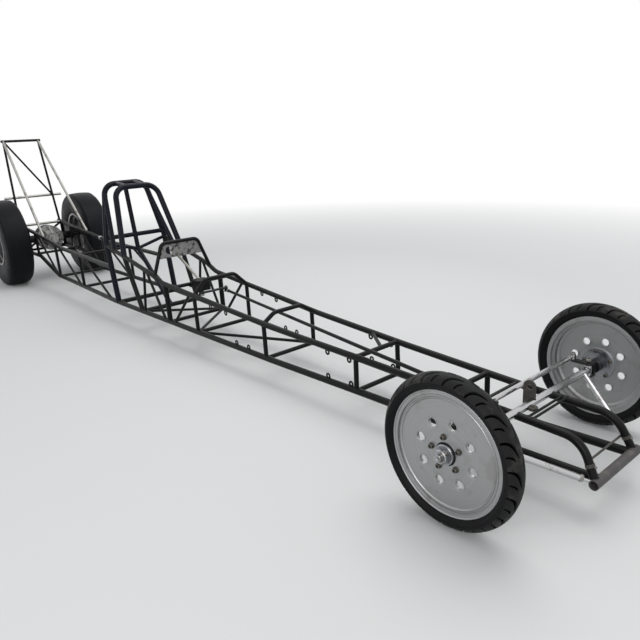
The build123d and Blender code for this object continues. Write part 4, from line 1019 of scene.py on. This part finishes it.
# floor, lamps and background
studio = {
    "floor": (0.72, 0.72, 0.71),
    "floorHalf": 30,
    "fadeFrom": 3.2,
    "fadeTo": 8.0,
    "worldLight": 0.56,
    "worldColour": (0.93, 0.96, 1.0, 1),
    "lamps": {
        "skyPanel": {"spot": (1.0, 1.5, 5.5), "target": (0.5, 0, 0), "size": (7, 4), "power": 165.0},
        "sidePanel": {"spot": (4.5, -4.5, 3.0), "target": (1.5, 0, 0.3), "size": (3, 2), "power": 70.0},
    },
}
far = studio["floorHalf"]
floorMesh = bpy.data.meshes.new("floor")
floorMesh.from_pydata([(-far, -far, 0), (far, -far, 0), (far, far, 0), (-far, far, 0)], [], [(0, 1, 2, 3)])
floor = bpy.data.objects.new("floor", floorMesh)
scene.collection.objects.link(floor)


def seenBy(tree, *rays):
    # 1 for the kinds of rays named, 0 for all others
    path = tree.nodes.new("ShaderNodeLightPath")
    seen = path.outputs[rays[0]]
    for ray in rays[1:]:
        seen = calc(tree, "MAXIMUM", seen, path.outputs[ray])
    return seen


floorPaint, floorTree, floorVector = startMaterial("floorPaint", 0.8)
dress(floorPaint, {"Base Color": (*studio["floor"], 1)})
distance = place(floorTree, "ShaderNodeVectorMath", {0: floorVector}, operation="LENGTH")
fade = remap(floorTree, distance.outputs["Value"], studio["fadeFrom"], studio["fadeTo"])
fade = calc(floorTree, "MULTIPLY", fade, seenBy(floorTree, "Is Camera Ray", "Is Glossy Ray"))
white = place(floorTree, "ShaderNodeEmission", {"Color": (1, 1, 1, 1), "Strength": 1.0})
floorMix = place(floorTree, "ShaderNodeMixShader", {0: fade, 1: floorTree.nodes["Principled BSDF"].outputs[0],
                                                    2: white.outputs[0]})
feed(floorTree, floorTree.nodes["Material Output"].inputs["Surface"], floorMix.outputs[0])
floorMesh.materials.append(floorPaint)

world = bpy.data.worlds.new("studioWorld")
scene.world = world
world.use_nodes = True
sky = world.node_tree
for old in list(sky.nodes):
    sky.nodes.remove(old)
seen = seenBy(sky, "Is Camera Ray", "Is Glossy Ray", "Is Transmission Ray")
lamp = place(sky, "ShaderNodeBackground", {"Color": studio["worldColour"], "Strength": studio["worldLight"]})
white = place(sky, "ShaderNodeBackground", {"Color": (1, 1, 1, 1), "Strength": 1.0})
both = place(sky, "ShaderNodeMixShader", {0: seen, 1: lamp.outputs[0], 2: white.outputs[0]})
place(sky, "ShaderNodeOutputWorld", {"Surface": both.outputs[0]})


def panelLamp(name, spot, target, size, power):
    data = bpy.data.lights.new(name, "AREA")
    data.shape = "RECTANGLE"
    data.size, data.size_y = size
    data.energy = power
    lampObject = bpy.data.objects.new(name, data)
    scene.collection.objects.link(lampObject)
    lampObject.location = spot
    lampObject.rotation_mode = "QUATERNION"
    lampObject.rotation_quaternion = (Vector(target) - Vector(spot)).to_track_quat("-Z", "Y")


for name, form in studio["lamps"].items():
    panelLamp(name, **form)
print("studio ready")
